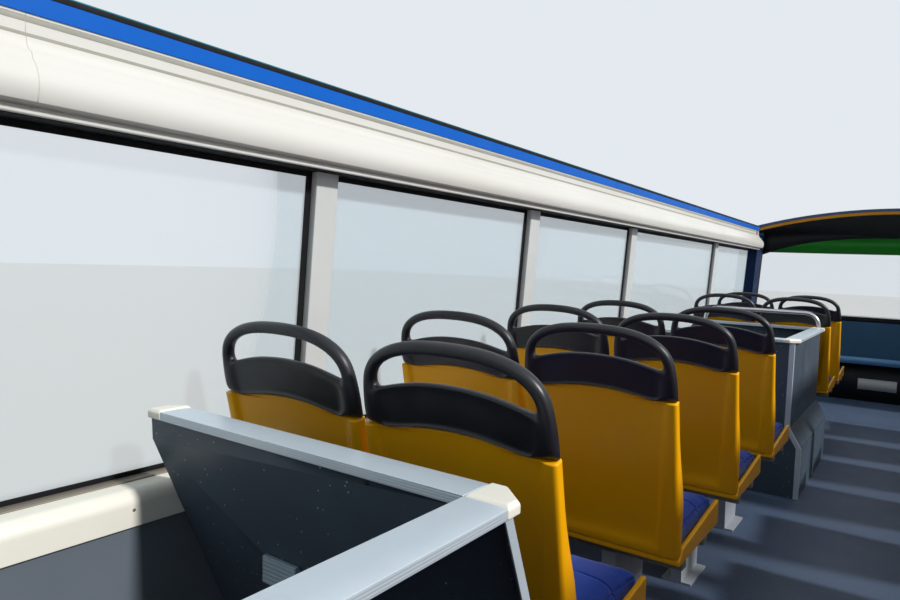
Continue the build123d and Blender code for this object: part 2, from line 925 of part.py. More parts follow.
def moulded_cap(length, cut, out, ahead):
    # cap a little proud of the rail, its corner towards out and ahead cut off, its top edges bevelled
    reach = length / 2
    points = (
        (-reach, -corner_half),
        (reach, -corner_half),
        (reach, corner_half - cut),
        (reach - cut, corner_half),
        (-reach, corner_half),
    )
    line = Polyline([(out * x, ahead * y) for x, y in points], close=True)
    piece = extrude(make_face(line), amount=cap_height + trim_thick, dir=(0, 0, 1))
    return chamfer(piece.edges().group_by(Axis.Z)[-1], corner_bevel)


end_x = ledge_end + end_cap_set + end_cap_length / 2
rail_start = end_x + end_cap_length / 2
aisle_cap_x = rear_aisle_x + cap_over - half_cap
cross_cap_y = rear_well_top - well_panel - cap_lip + half_cap
caps = [Pos(aisle_cap_x, rear_well_back, cap_z) * cap_rail(cross_cap_y - corner_half - rear_well_back)]
corners = []


def cross_rail(corner_x, y, turn):
    # rail between the end cap over the ledge and the corner cap, its shoulder on the side set by turn
    length = corner_x - corner_half - rail_start
    start = rail_start if turn < 0 else corner_x - corner_half
    caps.append(Pos(start, y, cap_z) * Rot(0, 0, turn) * cap_rail(length))
    ahead = 1 if turn > 0 else -1
    corners.append(Pos(corner_x, y, cap_z) * moulded_cap(2 * corner_half, corner_cut, 1, ahead))
    corners.append(Pos(end_x, y, cap_z) * moulded_cap(end_cap_length, end_cap_cut, -1, ahead))


cross_rail(aisle_cap_x, cross_cap_y, 90)

# Small lamp housing on the inner face of the leaning panel
lamp_z = deck_top + lamp_low
lamp_top = lamp_z + lamp_height


def panel_face(z):
    return rear_well_top - well_panel + (cap_z - z) * tan(radians(rear_well_lean))


lamp_points = (
    (panel_face(lamp_z), lamp_z),
    (panel_face(lamp_top), lamp_top),
    (panel_face(lamp_top) - lamp_depth / 3, lamp_top),
    (panel_face(lamp_z) - lamp_depth, lamp_z + lamp_height / 3),
    (panel_face(lamp_z) - lamp_depth, lamp_z),
)
save("well_lamp", [along_x(lamp_points, lamp_x - lamp_width / 2, lamp_x + lamp_width / 2)])

# Front stair enclosure: kinked aisle panel between two cross panels
upper_x = -aisle_half - well_kink_out
kink_low = deck_top + well_kink_low
kink_high = deck_top + well_kink_high
kink_points = (
    (-aisle_half, deck_top),
    (-aisle_half, kink_low),
    (upper_x, kink_high),
    (upper_x, cap_z),
    (upper_x - well_panel, cap_z),
    (upper_x - well_panel, kink_high - kink_step),
    (-aisle_half - well_panel, kink_low - kink_step),
    (-aisle_half - well_panel, deck_top),
)
front_aisle = along_y(kink_points, front_well_back + well_panel, front_well_front - well_panel)
cross_points = (
    (ledge_end, deck_top),
    (-aisle_half, deck_top),
    (-aisle_half, kink_low),
    (upper_x, kink_high),
    (upper_x, cap_z),
    (ledge_end, cap_z),
)
front_crosses = []
for y in (front_well_back, front_well_front - well_panel):
    front_crosses.append(with_cut(along_y(cross_points, y, y + well_panel), y, y + well_panel))
save("front_well_panels", [front_crosses[0], front_aisle, front_crosses[1]])
front_cap_x = upper_x - well_panel / 2
near_y = front_well_back + well_panel / 2
far_y = front_well_front - well_panel / 2
caps.append(Pos(front_cap_x, near_y + corner_half, cap_z) * cap_rail(far_y - near_y - 2 * corner_half))
cross_rail(front_cap_x, near_y, -90)
cross_rail(front_cap_x, far_y, 90)
save("well_caps", caps)
save("well_corners", corners)

# Edge trims on the enclosures: an angle round the near edge, and flat strips
kink_line = ((-aisle_half, deck_top), (-aisle_half, kink_low), (upper_x, kink_high), (upper_x, cap_z))


def trim_strip(line, inner, outer, y0, y1):
    # strip along a line up the panel, from inner to outer beside it
    points = [(x + inner, z) for x, z in line] + [(x + outer, z) for x, z in reversed(line)]
    return along_y(points, y0, y1)


near_trim = trim_strip(kink_line, 0, trim_thick, front_well_back, front_well_back + trim_width)
near_trim += trim_strip(kink_line, -trim_width, trim_thick, front_well_back - trim_thick, front_well_back)
middle_y = (front_well_back + front_well_front) / 2
middle_trim = trim_strip(kink_line[:2], 0, trim_thick, middle_y, middle_y + trim_width)
trim_points = (
    (rear_well_top - trim_width, cap_z),
    (rear_well_top, cap_z),
    (panel_foot, deck_top),
    (panel_foot - trim_width, deck_top),
)
rear_trim = along_x(trim_points, rear_aisle_x, rear_aisle_x + trim_thick)
save("well_trims", [near_trim, middle_trim, rear_trim])

# Tube hoop over the far cross panel, from the rail to the corner cap
rail_top = cap_z + cap_height
hoop_left = rail_start + hoop_tube
bend_z = rail_top + hoop_height - hoop_radius


def hoop_bend(centre_x, side):
    # points round one bend, from the leg up to the bar
    turns = [pi / 2 * step / hoop_bend_steps for step in range(hoop_bend_steps + 1)]
    return [(centre_x + side * hoop_radius * cos(turn), bend_z + hoop_radius * sin(turn)) for turn in turns]


hoop_points = [(hoop_left, rail_top)]
hoop_points += hoop_bend(hoop_left + hoop_radius, -1)
hoop_points += reversed(hoop_bend(front_cap_x - hoop_radius, 1))
hoop_points.append((front_cap_x, rail_top + trim_thick))
hoop_path = Polyline([(x, far_y, z) for x, z in hoop_points])
ring = Plane(origin=hoop_path @ 0, z_dir=hoop_path % 0) * RegularPolygon(hoop_tube / 2, hoop_sides)
save("front_well_hoop", [sweep(ring, path=hoop_path, transition=Transition.RIGHT)])
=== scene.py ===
from math import cos, pi, radians, sin

import bmesh
import bpy
from mathutils import Matrix, Vector


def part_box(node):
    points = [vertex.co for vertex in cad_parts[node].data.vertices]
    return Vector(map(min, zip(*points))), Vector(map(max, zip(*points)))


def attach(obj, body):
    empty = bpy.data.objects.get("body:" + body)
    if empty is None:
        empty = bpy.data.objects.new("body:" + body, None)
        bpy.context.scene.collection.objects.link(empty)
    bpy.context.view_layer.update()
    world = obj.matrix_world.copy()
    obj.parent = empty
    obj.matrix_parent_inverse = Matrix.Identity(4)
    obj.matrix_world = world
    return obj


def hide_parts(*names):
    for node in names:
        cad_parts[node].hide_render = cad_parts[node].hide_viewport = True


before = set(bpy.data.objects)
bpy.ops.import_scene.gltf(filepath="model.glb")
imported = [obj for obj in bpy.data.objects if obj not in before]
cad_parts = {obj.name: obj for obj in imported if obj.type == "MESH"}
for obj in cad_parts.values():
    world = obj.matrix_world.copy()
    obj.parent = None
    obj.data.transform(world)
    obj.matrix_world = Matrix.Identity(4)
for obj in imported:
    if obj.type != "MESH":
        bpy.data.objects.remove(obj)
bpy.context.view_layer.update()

# Open upper deck of a double-decker bus. X is to the right, Y forward, Z up, in metres.
# Settings are in millimetres and degrees, and mm() turns them to metres.
scene = bpy.context.scene


def mm(value):
    return value / 1000


# Camera, in the aisle beside the rear stair and 1.19 m above the deck
cameraPlace = {
    "x": 233,
    "y": -2590,
    "z": 1360,
    "yaw": 34.92,  # to the left of straight ahead
    "pitch": 3.16,  # downwards
    "roll": -2.168,
    "lens": 27.1,
    "sensor": 36,
    "near": 20,  # clipping distances
    "far": 200000,
}


def addCamera(s):
    yaw, pitch, roll = radians(s["yaw"]), radians(s["pitch"]), radians(s["roll"])
    ahead = Vector((-sin(yaw) * cos(pitch), cos(yaw) * cos(pitch), -sin(pitch)))
    across = Vector((cos(yaw), sin(yaw), 0))
    down = ahead.cross(across)
    right = cos(roll) * across + sin(roll) * down
    up = sin(roll) * across - cos(roll) * down
    data = bpy.data.cameras.new("camera")
    data.lens = s["lens"]
    data.sensor_width = s["sensor"]
    data.sensor_fit = "HORIZONTAL"
    data.clip_start = mm(s["near"])
    data.clip_end = mm(s["far"])
    camera = bpy.data.objects.new("camera", data)
    scene.collection.objects.link(camera)
    turn = Matrix((right, up, -ahead)).transposed().to_4x4()
    camera.matrix_world = Matrix.Translation((mm(s["x"]), mm(s["y"]), mm(s["z"]))) @ turn
    scene.camera = camera


addCamera(cameraPlace)
print("camera placed")

# Light: a key from straight across on the right, and an even pale surround
lighting = {
    "keyPower": 3.1,
    "keySpread": 4,  # degrees across, for shadow edges that soften with distance
    "keyFrom": (0.80, -0.005, 0.60),
    "fill": "DCE6F0",
    "fillPower": 0.52,
    "backdrop": "E4EAEF",
    "floor": "D9D8D4",
    "floorRough": 0.8,
    "floorReach": 60,  # metres from the middle of the deck to each edge
}


def toLinear(hexText):
    # sRGB hex to linear colour with alpha 1
    channels = []
    for start in (0, 2, 4):
        level = int(hexText[start:start + 2], 16) / 255
        channels.append(level / 12.92 if level <= 0.04045 else ((level + 0.055) / 1.055) ** 2.4)
    return (*channels, 1.0)


def addNode(tree, kind, settings=None, inputs=None):
    # one shader node with its settings, and with values or links for its inputs
    node = tree.nodes.new(kind)
    for name, value in (settings or {}).items():
        setattr(node, name, value)
    for socket, value in (inputs or {}).items():
        if isinstance(value, bpy.types.NodeSocket):
            tree.links.new(value, node.inputs[socket])
        else:
            node.inputs[socket].default_value = value
    return node


def addLights(s):
    lamp = bpy.data.lights.new("key", "SUN")
    lamp.energy = s["keyPower"]
    lamp.angle = radians(s["keySpread"])
    key = bpy.data.objects.new("key", lamp)
    key.rotation_euler = Vector(s["keyFrom"]).to_track_quat("Z", "Y").to_euler()
    scene.collection.objects.link(key)
    world = bpy.data.worlds.new("surround")
    world.use_nodes = True
    scene.world = world
    tree = world.node_tree
    tree.nodes.clear()
    path = addNode(tree, "ShaderNodeLightPath")
    seen = addNode(tree, "ShaderNodeMath", {"operation": "MAXIMUM"},
                   {0: path.outputs["Is Camera Ray"], 1: path.outputs["Is Glossy Ray"]})
    seen = addNode(tree, "ShaderNodeMath", {"operation": "MAXIMUM"},
                   {0: seen.outputs[0], 1: path.outputs["Is Transmission Ray"]})
    fill = addNode(tree, "ShaderNodeBackground", None,
                   {"Color": toLinear(s["fill"]), "Strength": s["fillPower"]})
    shown = addNode(tree, "ShaderNodeBackground", None,
                    {"Color": toLinear(s["backdrop"]), "Strength": 1.0})
    both = addNode(tree, "ShaderNodeMixShader", None,
                   {0: seen.outputs[0], 1: fill.outputs[0], 2: shown.outputs[0]})
    addNode(tree, "ShaderNodeOutputWorld", None, {"Surface": both.outputs[0]})
    scene.view_settings.view_transform = "Standard"


addLights(lighting)


def newMaterial(name):
    material = bpy.data.materials.new(name)
    material.use_nodes = True
    tree = material.node_tree
    return material, tree, tree.nodes["Principled BSDF"]


noiseSpan = (0.2, 0.8)  # nearly all of a noise lies between these
lineSpan = (0.3, 0.7)  # and of a noise that is stretched into lines
glossSpread = 0.06  # roughness each side of its middle value, on metal and laminate
fluteWeight = 6.0  # height of moulded flutes against drawn lines
coatRough = 0.08
glassTurn = 0.35  # how early glass starts to reflect more as it turns away


def perMetre(size):
    # pattern scale for cells of this many millimetres
    return 1000 / size


def mottle(tree, place, size, low, high, detail=3.0):
    # soft irregular value between low and high, in patches of this size
    noise = addNode(tree, "ShaderNodeTexNoise", None,
                    {"Vector": place, "Scale": perMetre(size), "Detail": detail})
    return addNode(tree, "ShaderNodeMapRange", {"interpolation_type": "SMOOTHSTEP"},
                   {"Value": noise.outputs["Fac"], "From Min": noiseSpan[0],
                    "From Max": noiseSpan[1], "To Min": low, "To Max": high}).outputs[0]


def banded(tree, place, axis, pitch):
    # even waves this many millimetres apart along X, Y or Z, which the node draws pi / 10 apart
    return addNode(tree, "ShaderNodeTexWave", {"bands_direction": axis},
                   {"Vector": place, "Scale": perMetre(pitch) * pi / 10}).outputs["Fac"]


def blended(tree, factor, first, second):
    # colour between two hex colours or sockets, through the node's colour inputs 6 and 7
    mix = addNode(tree, "ShaderNodeMix", {"data_type": "RGBA"}, {0: factor})
    for index, colour in ((6, first), (7, second)):
        if isinstance(colour, str):
            mix.inputs[index].default_value = toLinear(colour)
        else:
            tree.links.new(colour, mix.inputs[index])
    return mix.outputs[2]


def bumped(tree, shader, height, depth):
    # raises the surface by height times depth in millimetres
    bump = addNode(tree, "ShaderNodeBump", None,
                   {"Height": height, "Strength": 1.0, "Distance": mm(depth)})
    tree.links.new(bump.outputs[0], shader.inputs["Normal"])


def objectPlace(tree):
    return addNode(tree, "ShaderNodeTexCoord").outputs["Object"]


def plainFinish(name, s):
    # painted or moulded surface: soft colour drift, uneven gloss, a fine texture and maybe ribs,
    # which are given as axis, pitch and weight against the texture
    material, tree, shader = newMaterial(name)
    place = objectPlace(tree)
    drift = mottle(tree, place, s["patch"], 0, 1)
    colour = blended(tree, drift, s["colour"], s["tint"])
    tree.links.new(colour, shader.inputs["Base Color"])
    gloss = mottle(tree, place, s["patch"] / 3,
                   s["rough"] - s["uneven"], s["rough"] + s["uneven"])
    tree.links.new(gloss, shader.inputs["Roughness"])
    texture = mottle(tree, place, s["grain"], 0, 1, 2.0)
    if "ribs" in s:
        axis, pitch, weight = s["ribs"]
        texture = addNode(tree, "ShaderNodeMath", {"operation": "MULTIPLY_ADD"},
                          {0: banded(tree, place, axis, pitch), 1: weight, 2: texture}).outputs[0]
    bumped(tree, shader, texture, s["depth"])
    shader.inputs["Specular IOR Level"].default_value = s.get("specular", 0.5)
    shader.inputs["Coat Weight"].default_value = s.get("coat", 0)
    shader.inputs["Coat Roughness"].default_value = coatRough
    return material


def brushedMetal(name, s):
    # drawn lines along one axis, so that highlights spread across them
    material, tree, shader = newMaterial(name)
    place = objectPlace(tree)
    stretch = [perMetre(s["line"])] * 3
    stretch[s["along"]] = perMetre(s["run"])
    drawn = addNode(tree, "ShaderNodeMapping", None, {"Vector": place, "Scale": stretch})
    lines = addNode(tree, "ShaderNodeTexNoise", None,
                    {"Vector": drawn.outputs[0], "Scale": 1.0, "Detail": 3.0})
    drift = mottle(tree, place, s["patch"], 0, 1)
    tree.links.new(blended(tree, drift, s["colour"], s["tint"]), shader.inputs["Base Color"])
    gloss = addNode(tree, "ShaderNodeMapRange", None,
                    {"Value": lines.outputs["Fac"], "From Min": lineSpan[0],
                     "From Max": lineSpan[1], "To Min": s["rough"] - glossSpread,
                     "To Max": s["rough"] + glossSpread})
    tree.links.new(gloss.outputs[0], shader.inputs["Roughness"])
    height = lines.outputs["Fac"]
    if "flutes" in s:
        flutes = banded(tree, place, "Z", s["flutes"])
        height = addNode(tree, "ShaderNodeMath", {"operation": "MULTIPLY_ADD"},
                         {0: flutes, 1: fluteWeight, 2: height}).outputs[0]
    bumped(tree, shader, height, s["depth"])
    shader.inputs["Metallic"].default_value = s["metal"]
    return material


def speckledLaminate(name, s):
    # dark pressure laminate with a fine pebble and scattered pale flecks
    material, tree, shader = newMaterial(name)
    place = objectPlace(tree)
    drift = mottle(tree, place, s["patch"], 0, 1)
    colour = blended(tree, drift, s["colour"], s["tint"])
    cells = addNode(tree, "ShaderNodeTexVoronoi", None,
                    {"Vector": place, "Scale": perMetre(s["fleckPitch"]), "Randomness": 1.0})
    fleck = addNode(tree, "ShaderNodeMath", {"operation": "LESS_THAN"},
                    {0: cells.outputs["Distance"], 1: s["fleckSize"] / s["fleckPitch"] / 2})
    chosen = addNode(tree, "ShaderNodeSeparateColor", None, {0: cells.outputs["Color"]})
    some = addNode(tree, "ShaderNodeMath", {"operation": "LESS_THAN"},
                   {0: chosen.outputs[0], 1: s["fleckShare"]})
    shown = addNode(tree, "ShaderNodeMath", {"operation": "MULTIPLY"},
                    {0: fleck.outputs[0], 1: some.outputs[0]})
    colour = blended(tree, shown.outputs[0], colour, s["fleck"])
    tree.links.new(colour, shader.inputs["Base Color"])
    gloss = mottle(tree, place, s["patch"] / 2,
                   s["rough"] - glossSpread, s["rough"] + glossSpread)
    tree.links.new(gloss, shader.inputs["Roughness"])
    bumped(tree, shader, mottle(tree, place, s["grain"], 0, 1, 2.0), s["depth"])
    shader.inputs["Specular IOR Level"].default_value = s.get("specular", 0.5)
    return material


def wovenCloth(name, s):
    # weave drawn coarse enough to show, with a nap that catches light at the edges
    material, tree, shader = newMaterial(name)
    place = objectPlace(tree)
    threads = [banded(tree, place, axis, s["thread"]) for axis in ("X", "Y")]
    weave = addNode(tree, "ShaderNodeMath", {"operation": "MULTIPLY"},
                    {0: threads[0], 1: threads[1]})
    drift = mottle(tree, place, s["patch"], 0, 1)
    colour = blended(tree, drift, s["colour"], s["tint"])
    shade = addNode(tree, "ShaderNodeMapRange", None,
                    {"Value": weave.outputs[0], "To Min": 0, "To Max": s["gaps"]})
    tree.links.new(blended(tree, shade.outputs[0], colour, s["thin"]), shader.inputs["Base Color"])
    shader.inputs["Roughness"].default_value = s["rough"]
    shader.inputs["Sheen Weight"].default_value = s["nap"]
    shader.inputs["Sheen Roughness"].default_value = s["napRough"]
    bumped(tree, shader, weave.outputs[0], s["depth"])
    return material


def clearGlass(name, s):
    # clear sheet that reflects more as it turns away, with a faint tint and a slow ripple
    material, tree, shader = newMaterial(name)
    place = objectPlace(tree)
    facing = addNode(tree, "ShaderNodeLayerWeight", None, {"Blend": glassTurn})
    seen = addNode(tree, "ShaderNodeMapRange", None,
                   {"Value": facing.outputs["Fresnel"], "From Min": 0.0, "From Max": 1.0,
                    "To Min": s["least"], "To Max": s["most"]})
    tree.links.new(seen.outputs[0], shader.inputs["Alpha"])
    shader.inputs["Base Color"].default_value = toLinear(s["colour"])
    shader.inputs["Roughness"].default_value = s["rough"]
    shader.inputs["Specular IOR Level"].default_value = s.get("specular", 0.5)
    bumped(tree, shader, mottle(tree, place, s["ripple"], 0, 1, 1.0), s["depth"])
    return material


# Finishes, each named for the real material
finishes = {
    # cured sheet vinyl with mineral grit rolled into it: dull, dark, with pale grains
    "deckVinyl": speckledLaminate("deckVinyl", {
        "colour": "435269", "tint": "4C5C74", "patch": 420, "fleck": "8D97A2", "fleckPitch": 9,
        "fleckSize": 2.4, "fleckShare": 0.5, "grain": 2.5, "depth": 0.25, "rough": 0.58}),
    # black wax-coated steel: satin, slightly orange-peeled
    "coatedSteel": plainFinish("coatedSteel", {
        "colour": "24262A", "tint": "2C2E33", "patch": 300, "grain": 6, "depth": 0.15,
        "rough": 0.5, "uneven": 0.08}),
    # sprayed two-pack enamel under a clear coat: deep blue and mirror-like
    "blueEnamel": plainFinish("blueEnamel", {
        "colour": "12325F", "tint": "143868", "patch": 700, "grain": 9, "depth": 0.02,
        "rough": 0.36, "uneven": 0.04, "coat": 0.3}),
    # brushed alkyd enamel over a pressed steel post: nearly black blue with little shine
    "postEnamel": plainFinish("postEnamel", {
        "colour": "0B2244", "tint": "0E264A", "patch": 400, "grain": 6, "depth": 0.04,
        "rough": 0.6, "uneven": 0.05, "specular": 0.12}),
    # stoved enamel on a folded strip: strong blue with an even, soft gloss
    "brightBlueEnamel": plainFinish("brightBlueEnamel", {
        "colour": "005CBC", "tint": "0062C4", "patch": 500, "grain": 9, "depth": 0.02,
        "rough": 0.5, "uneven": 0.05, "specular": 0.2}),
    # stoved enamel on the strip's lower edge: teal, satin
    "tealEnamel": plainFinish("tealEnamel", {
        "colour": "0B6E7C", "tint": "0F7684", "patch": 500, "grain": 9, "depth": 0.02,
        "rough": 0.4, "uneven": 0.05}),
    # sprayed enamel on a rolled section: warm white, glossy
    "whiteEnamel": plainFinish("whiteEnamel", {
        "colour": "DFDCD4", "tint": "D9D5CB", "patch": 620, "grain": 14, "depth": 0.02,
        "rough": 0.36, "uneven": 0.04, "coat": 0.15}),
    # stoved enamel on pressed steel: pale grey, satin, with a fine peel
    "pillarEnamel": plainFinish("pillarEnamel", {
        "colour": "D6D7D3", "tint": "CDCEC9", "patch": 260, "grain": 5, "depth": 0.05,
        "rough": 0.38, "uneven": 0.05}),
    # vacuum-formed ABS: cream, soft gloss, faint leather grain
    "creamMoulding": plainFinish("creamMoulding", {
        "colour": "F6F2E4", "tint": "EFEADA", "patch": 240, "grain": 1.6, "depth": 0.08,
        "rough": 0.42, "uneven": 0.05}),
    # pressed melamine wall board: grey, fine pebble
    "wallLaminate": plainFinish("wallLaminate", {
        "colour": "6B737C", "tint": "636B74", "patch": 350, "grain": 1.8, "depth": 0.12,
        "rough": 0.55, "uneven": 0.05}),
    # pressed melamine board, dyed through: dark blue, fine pebble
    "bulkheadLaminate": plainFinish("bulkheadLaminate", {
        "colour": "23516F", "tint": "285876", "patch": 300, "grain": 1.8, "depth": 0.12,
        "rough": 0.5, "uneven": 0.05}),
    # sprayed enamel on a folded steel edge: pale blue, satin
    "paleBlueEnamel": plainFinish("paleBlueEnamel", {
        "colour": "5C8FBE", "tint": "6698C6", "patch": 300, "grain": 6, "depth": 0.02,
        "rough": 0.4, "uneven": 0.05}),
    # pressed melamine board with pale chips in its paper: blue-grey, flecked. The flecks are
    # drawn coarser than real, so that they show
    "panelLaminate": speckledLaminate("panelLaminate", {
        "colour": "46535F", "tint": "4E5C69", "patch": 260, "fleck": "B4BDC5", "fleckPitch": 20,
        "fleckSize": 4.2, "fleckShare": 0.6, "grain": 1.6, "depth": 0.08, "rough": 0.42,
        "specular": 0.3}),
    # extruded EPDM: matt black rubber
    "glazingRubber": plainFinish("glazingRubber", {
        "colour": "0F1012", "tint": "151618", "patch": 90, "grain": 2, "depth": 0.1,
        "rough": 0.72, "uneven": 0.06, "specular": 0.25}),
    # toughened float glass: clear, reflecting more towards the far bays
    "clearGlass": clearGlass("clearGlass", {
        "colour": "C4D6DC", "least": 0.05, "most": 0.5, "ripple": 300, "depth": 0.05,
        "rough": 0.02}),
    # dyed polyester film on the glass: deep green, with the light dulled behind it
    "greenFilm": clearGlass("greenFilm", {
        "colour": "0A8012", "least": 0.92, "most": 0.96, "ripple": 200, "depth": 0.05,
        "rough": 0.25, "specular": 0.15}),
    # sprayed enamel on an aluminium strip: amber, satin
    "amberStripe": plainFinish("amberStripe", {
        "colour": "D08E1E", "tint": "C6861B", "patch": 200, "grain": 6, "depth": 0.03,
        "rough": 0.4, "uneven": 0.04, "specular": 0.25}),
    # vacuum-formed ABS with a leather grain: black and dull
    "blackLining": plainFinish("blackLining", {
        "colour": "17181C", "tint": "1D1E23", "patch": 160, "grain": 1.5, "depth": 0.12,
        "rough": 0.6, "uneven": 0.05, "specular": 0.25}),
    # blow-moulded polyethylene coloured through: strong yellow, satin, slightly rippled
    "yellowPlastic": plainFinish("yellowPlastic", {
        "colour": "FFB802", "tint": "F9AC00", "patch": 240, "grain": 2.6, "depth": 0.05,
        "rough": 0.36, "uneven": 0.05, "specular": 0.3}),
    # glass-filled nylon from a spark-eroded mould: near black, matt, even pebble
    "blackPlastic": plainFinish("blackPlastic", {
        "colour": "1A1B20", "tint": "202126", "patch": 160, "grain": 1.6, "depth": 0.06,
        "rough": 0.38, "uneven": 0.06}),
    # woven wool moquette with a cut nap: deep blue. Its threads are drawn at 4.5 mm, coarser
    # than real, so that they show
    "blueCloth": wovenCloth("blueCloth", {
        "colour": "0F3FA8", "tint": "1549B8", "thin": "0A2A75", "patch": 60, "thread": 4.5,
        "depth": 0.4, "gaps": 0.5, "rough": 0.9, "nap": 0.35, "napRough": 0.4}),
    # extruded aluminium, satin anodised: pale blue-grey with fine drawn lines
    "anodisedAlong": brushedMetal("anodisedAlong", {
        "colour": "D4DFE6", "tint": "CAD6DE", "patch": 160, "line": 0.9, "run": 60, "along": 1,
        "depth": 0.04, "rough": 0.36, "metal": 0.3, "flutes": 4.5}),
    # extruded aluminium as it left the press: warm grey with fine drawn lines
    "beamAluminium": brushedMetal("beamAluminium", {
        "colour": "A79F92", "tint": "9C9488", "patch": 120, "line": 1.1, "run": 50, "along": 0,
        "depth": 0.05, "rough": 0.42, "metal": 0.6}),
    # powder-coated casting: mid grey, fine orange peel
    "greyPowder": plainFinish("greyPowder", {
        "colour": "A6ABB0", "tint": "9CA2A8", "patch": 120, "grain": 2.4, "depth": 0.12,
        "rough": 0.48, "uneven": 0.06, "ribs": ("Y", 13, 8.0)}),
    # drawn stainless steel, brushed along the tube: bright with fine lines
    "brushedTube": brushedMetal("brushedTube", {
        "colour": "C9CACB", "tint": "BDBEC0", "patch": 90, "line": 0.8, "run": 40, "along": 0,
        "depth": 0.03, "rough": 0.28, "metal": 1.0}),
    # injection-moulded polycarbonate: pale grey-blue, ribbed across its lens
    "lampMoulding": plainFinish("lampMoulding", {
        "colour": "A9BAC4", "tint": "9DAEB9", "patch": 60, "grain": 1.5, "depth": 0.08,
        "rough": 0.45, "uneven": 0.05, "ribs": ("Z", 9, 9.0)}),
    # turned and zinc-plated steel: dull grey, with fine turning marks
    "bareSteel": brushedMetal("bareSteel", {
        "colour": "8C8A84", "tint": "7F7D77", "patch": 40, "line": 0.6, "run": 6, "along": 2,
        "depth": 0.03, "rough": 0.45, "metal": 0.8}),
    # anodised glazing bead, dulled by the weather: tan grey
    "beadAluminium": brushedMetal("beadAluminium", {
        "colour": "8E8578", "tint": "857C70", "patch": 140, "line": 1.2, "run": 70, "along": 1,
        "depth": 0.05, "rough": 0.5, "metal": 0.4}),
    # painted groove shade: matt, dusty grey, for strips laid in the coaming's two grooves where its
    # lips cast shade
    "paintedGrooveShade": plainFinish("paintedGrooveShade", {
        "colour": "A5A396", "tint": "9A988B", "patch": 60, "grain": 3, "depth": 0.02,
        "rough": 0.7, "uneven": 0.05}),
    # polyurethane joint filler in a fresh narrow joint, nearly as pale as the coaming beside it
    "paleFiller": plainFinish("paleFiller", {
        "colour": "C6C3B9", "tint": "BEBBB0", "patch": 60, "grain": 3, "depth": 0.02,
        "rough": 0.6, "uneven": 0.05}),
}
print("finishes made:", len(finishes))


def finishPiece(name, bm, finish, nodes):
    # turns a bmesh into a piece of the deck that stands for CAD nodes
    mesh = bpy.data.meshes.new(name)
    bm.to_mesh(mesh)
    bm.free()
    for polygon in mesh.polygons:
        polygon.use_smooth = True
    mesh.materials.append(finishes[finish])
    piece = bpy.data.objects.new(name, mesh)
    scene.collection.objects.link(piece)
    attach(piece, "root")
    if nodes:
        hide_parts(*nodes)
    return piece


weldGap = 0.00002  # metres, within which two points of a CAD mesh are one
flatAngle = 0.3  # degrees, within which two of its faces are one flat stretch


def cadMesh(node):
    # merged copy of a CAD node's loose triangles, with flat stretches made one face again
    bm = bmesh.new()
    bm.from_mesh(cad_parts[node].data)
    bmesh.ops.remove_doubles(bm, verts=bm.verts, dist=weldGap)
    bmesh.ops.dissolve_limit(bm, angle_limit=radians(flatAngle), verts=bm.verts, edges=bm.edges)
    return bm


def sharpEdges(bm, angle):
    return [e for e in bm.edges
            if len(e.link_faces) == 2 and e.calc_face_angle(0) > radians(angle)]


def rounded(bm, radius, segments=2, angle=28):
    # rounds the sharp edges
    bmesh.ops.bevel(bm, geom=sharpEdges(bm, angle), offset=mm(radius), offset_type="OFFSET",
                    affect="EDGES", segments=segments, profile=0.5, material=-1,
                    clamp_overlap=True, harden_normals=False)


def dressNode(node, name, finish, radius):
    # a CAD node with its edges rounded, which keeps its form
    bm = cadMesh(node)
    if radius:
        rounded(bm, radius)
    piece = finishPiece(name, bm, finish, [node])
    weighted = piece.modifiers.new("faces", "WEIGHTED_NORMAL")
    weighted.keep_sharp = True
    return piece


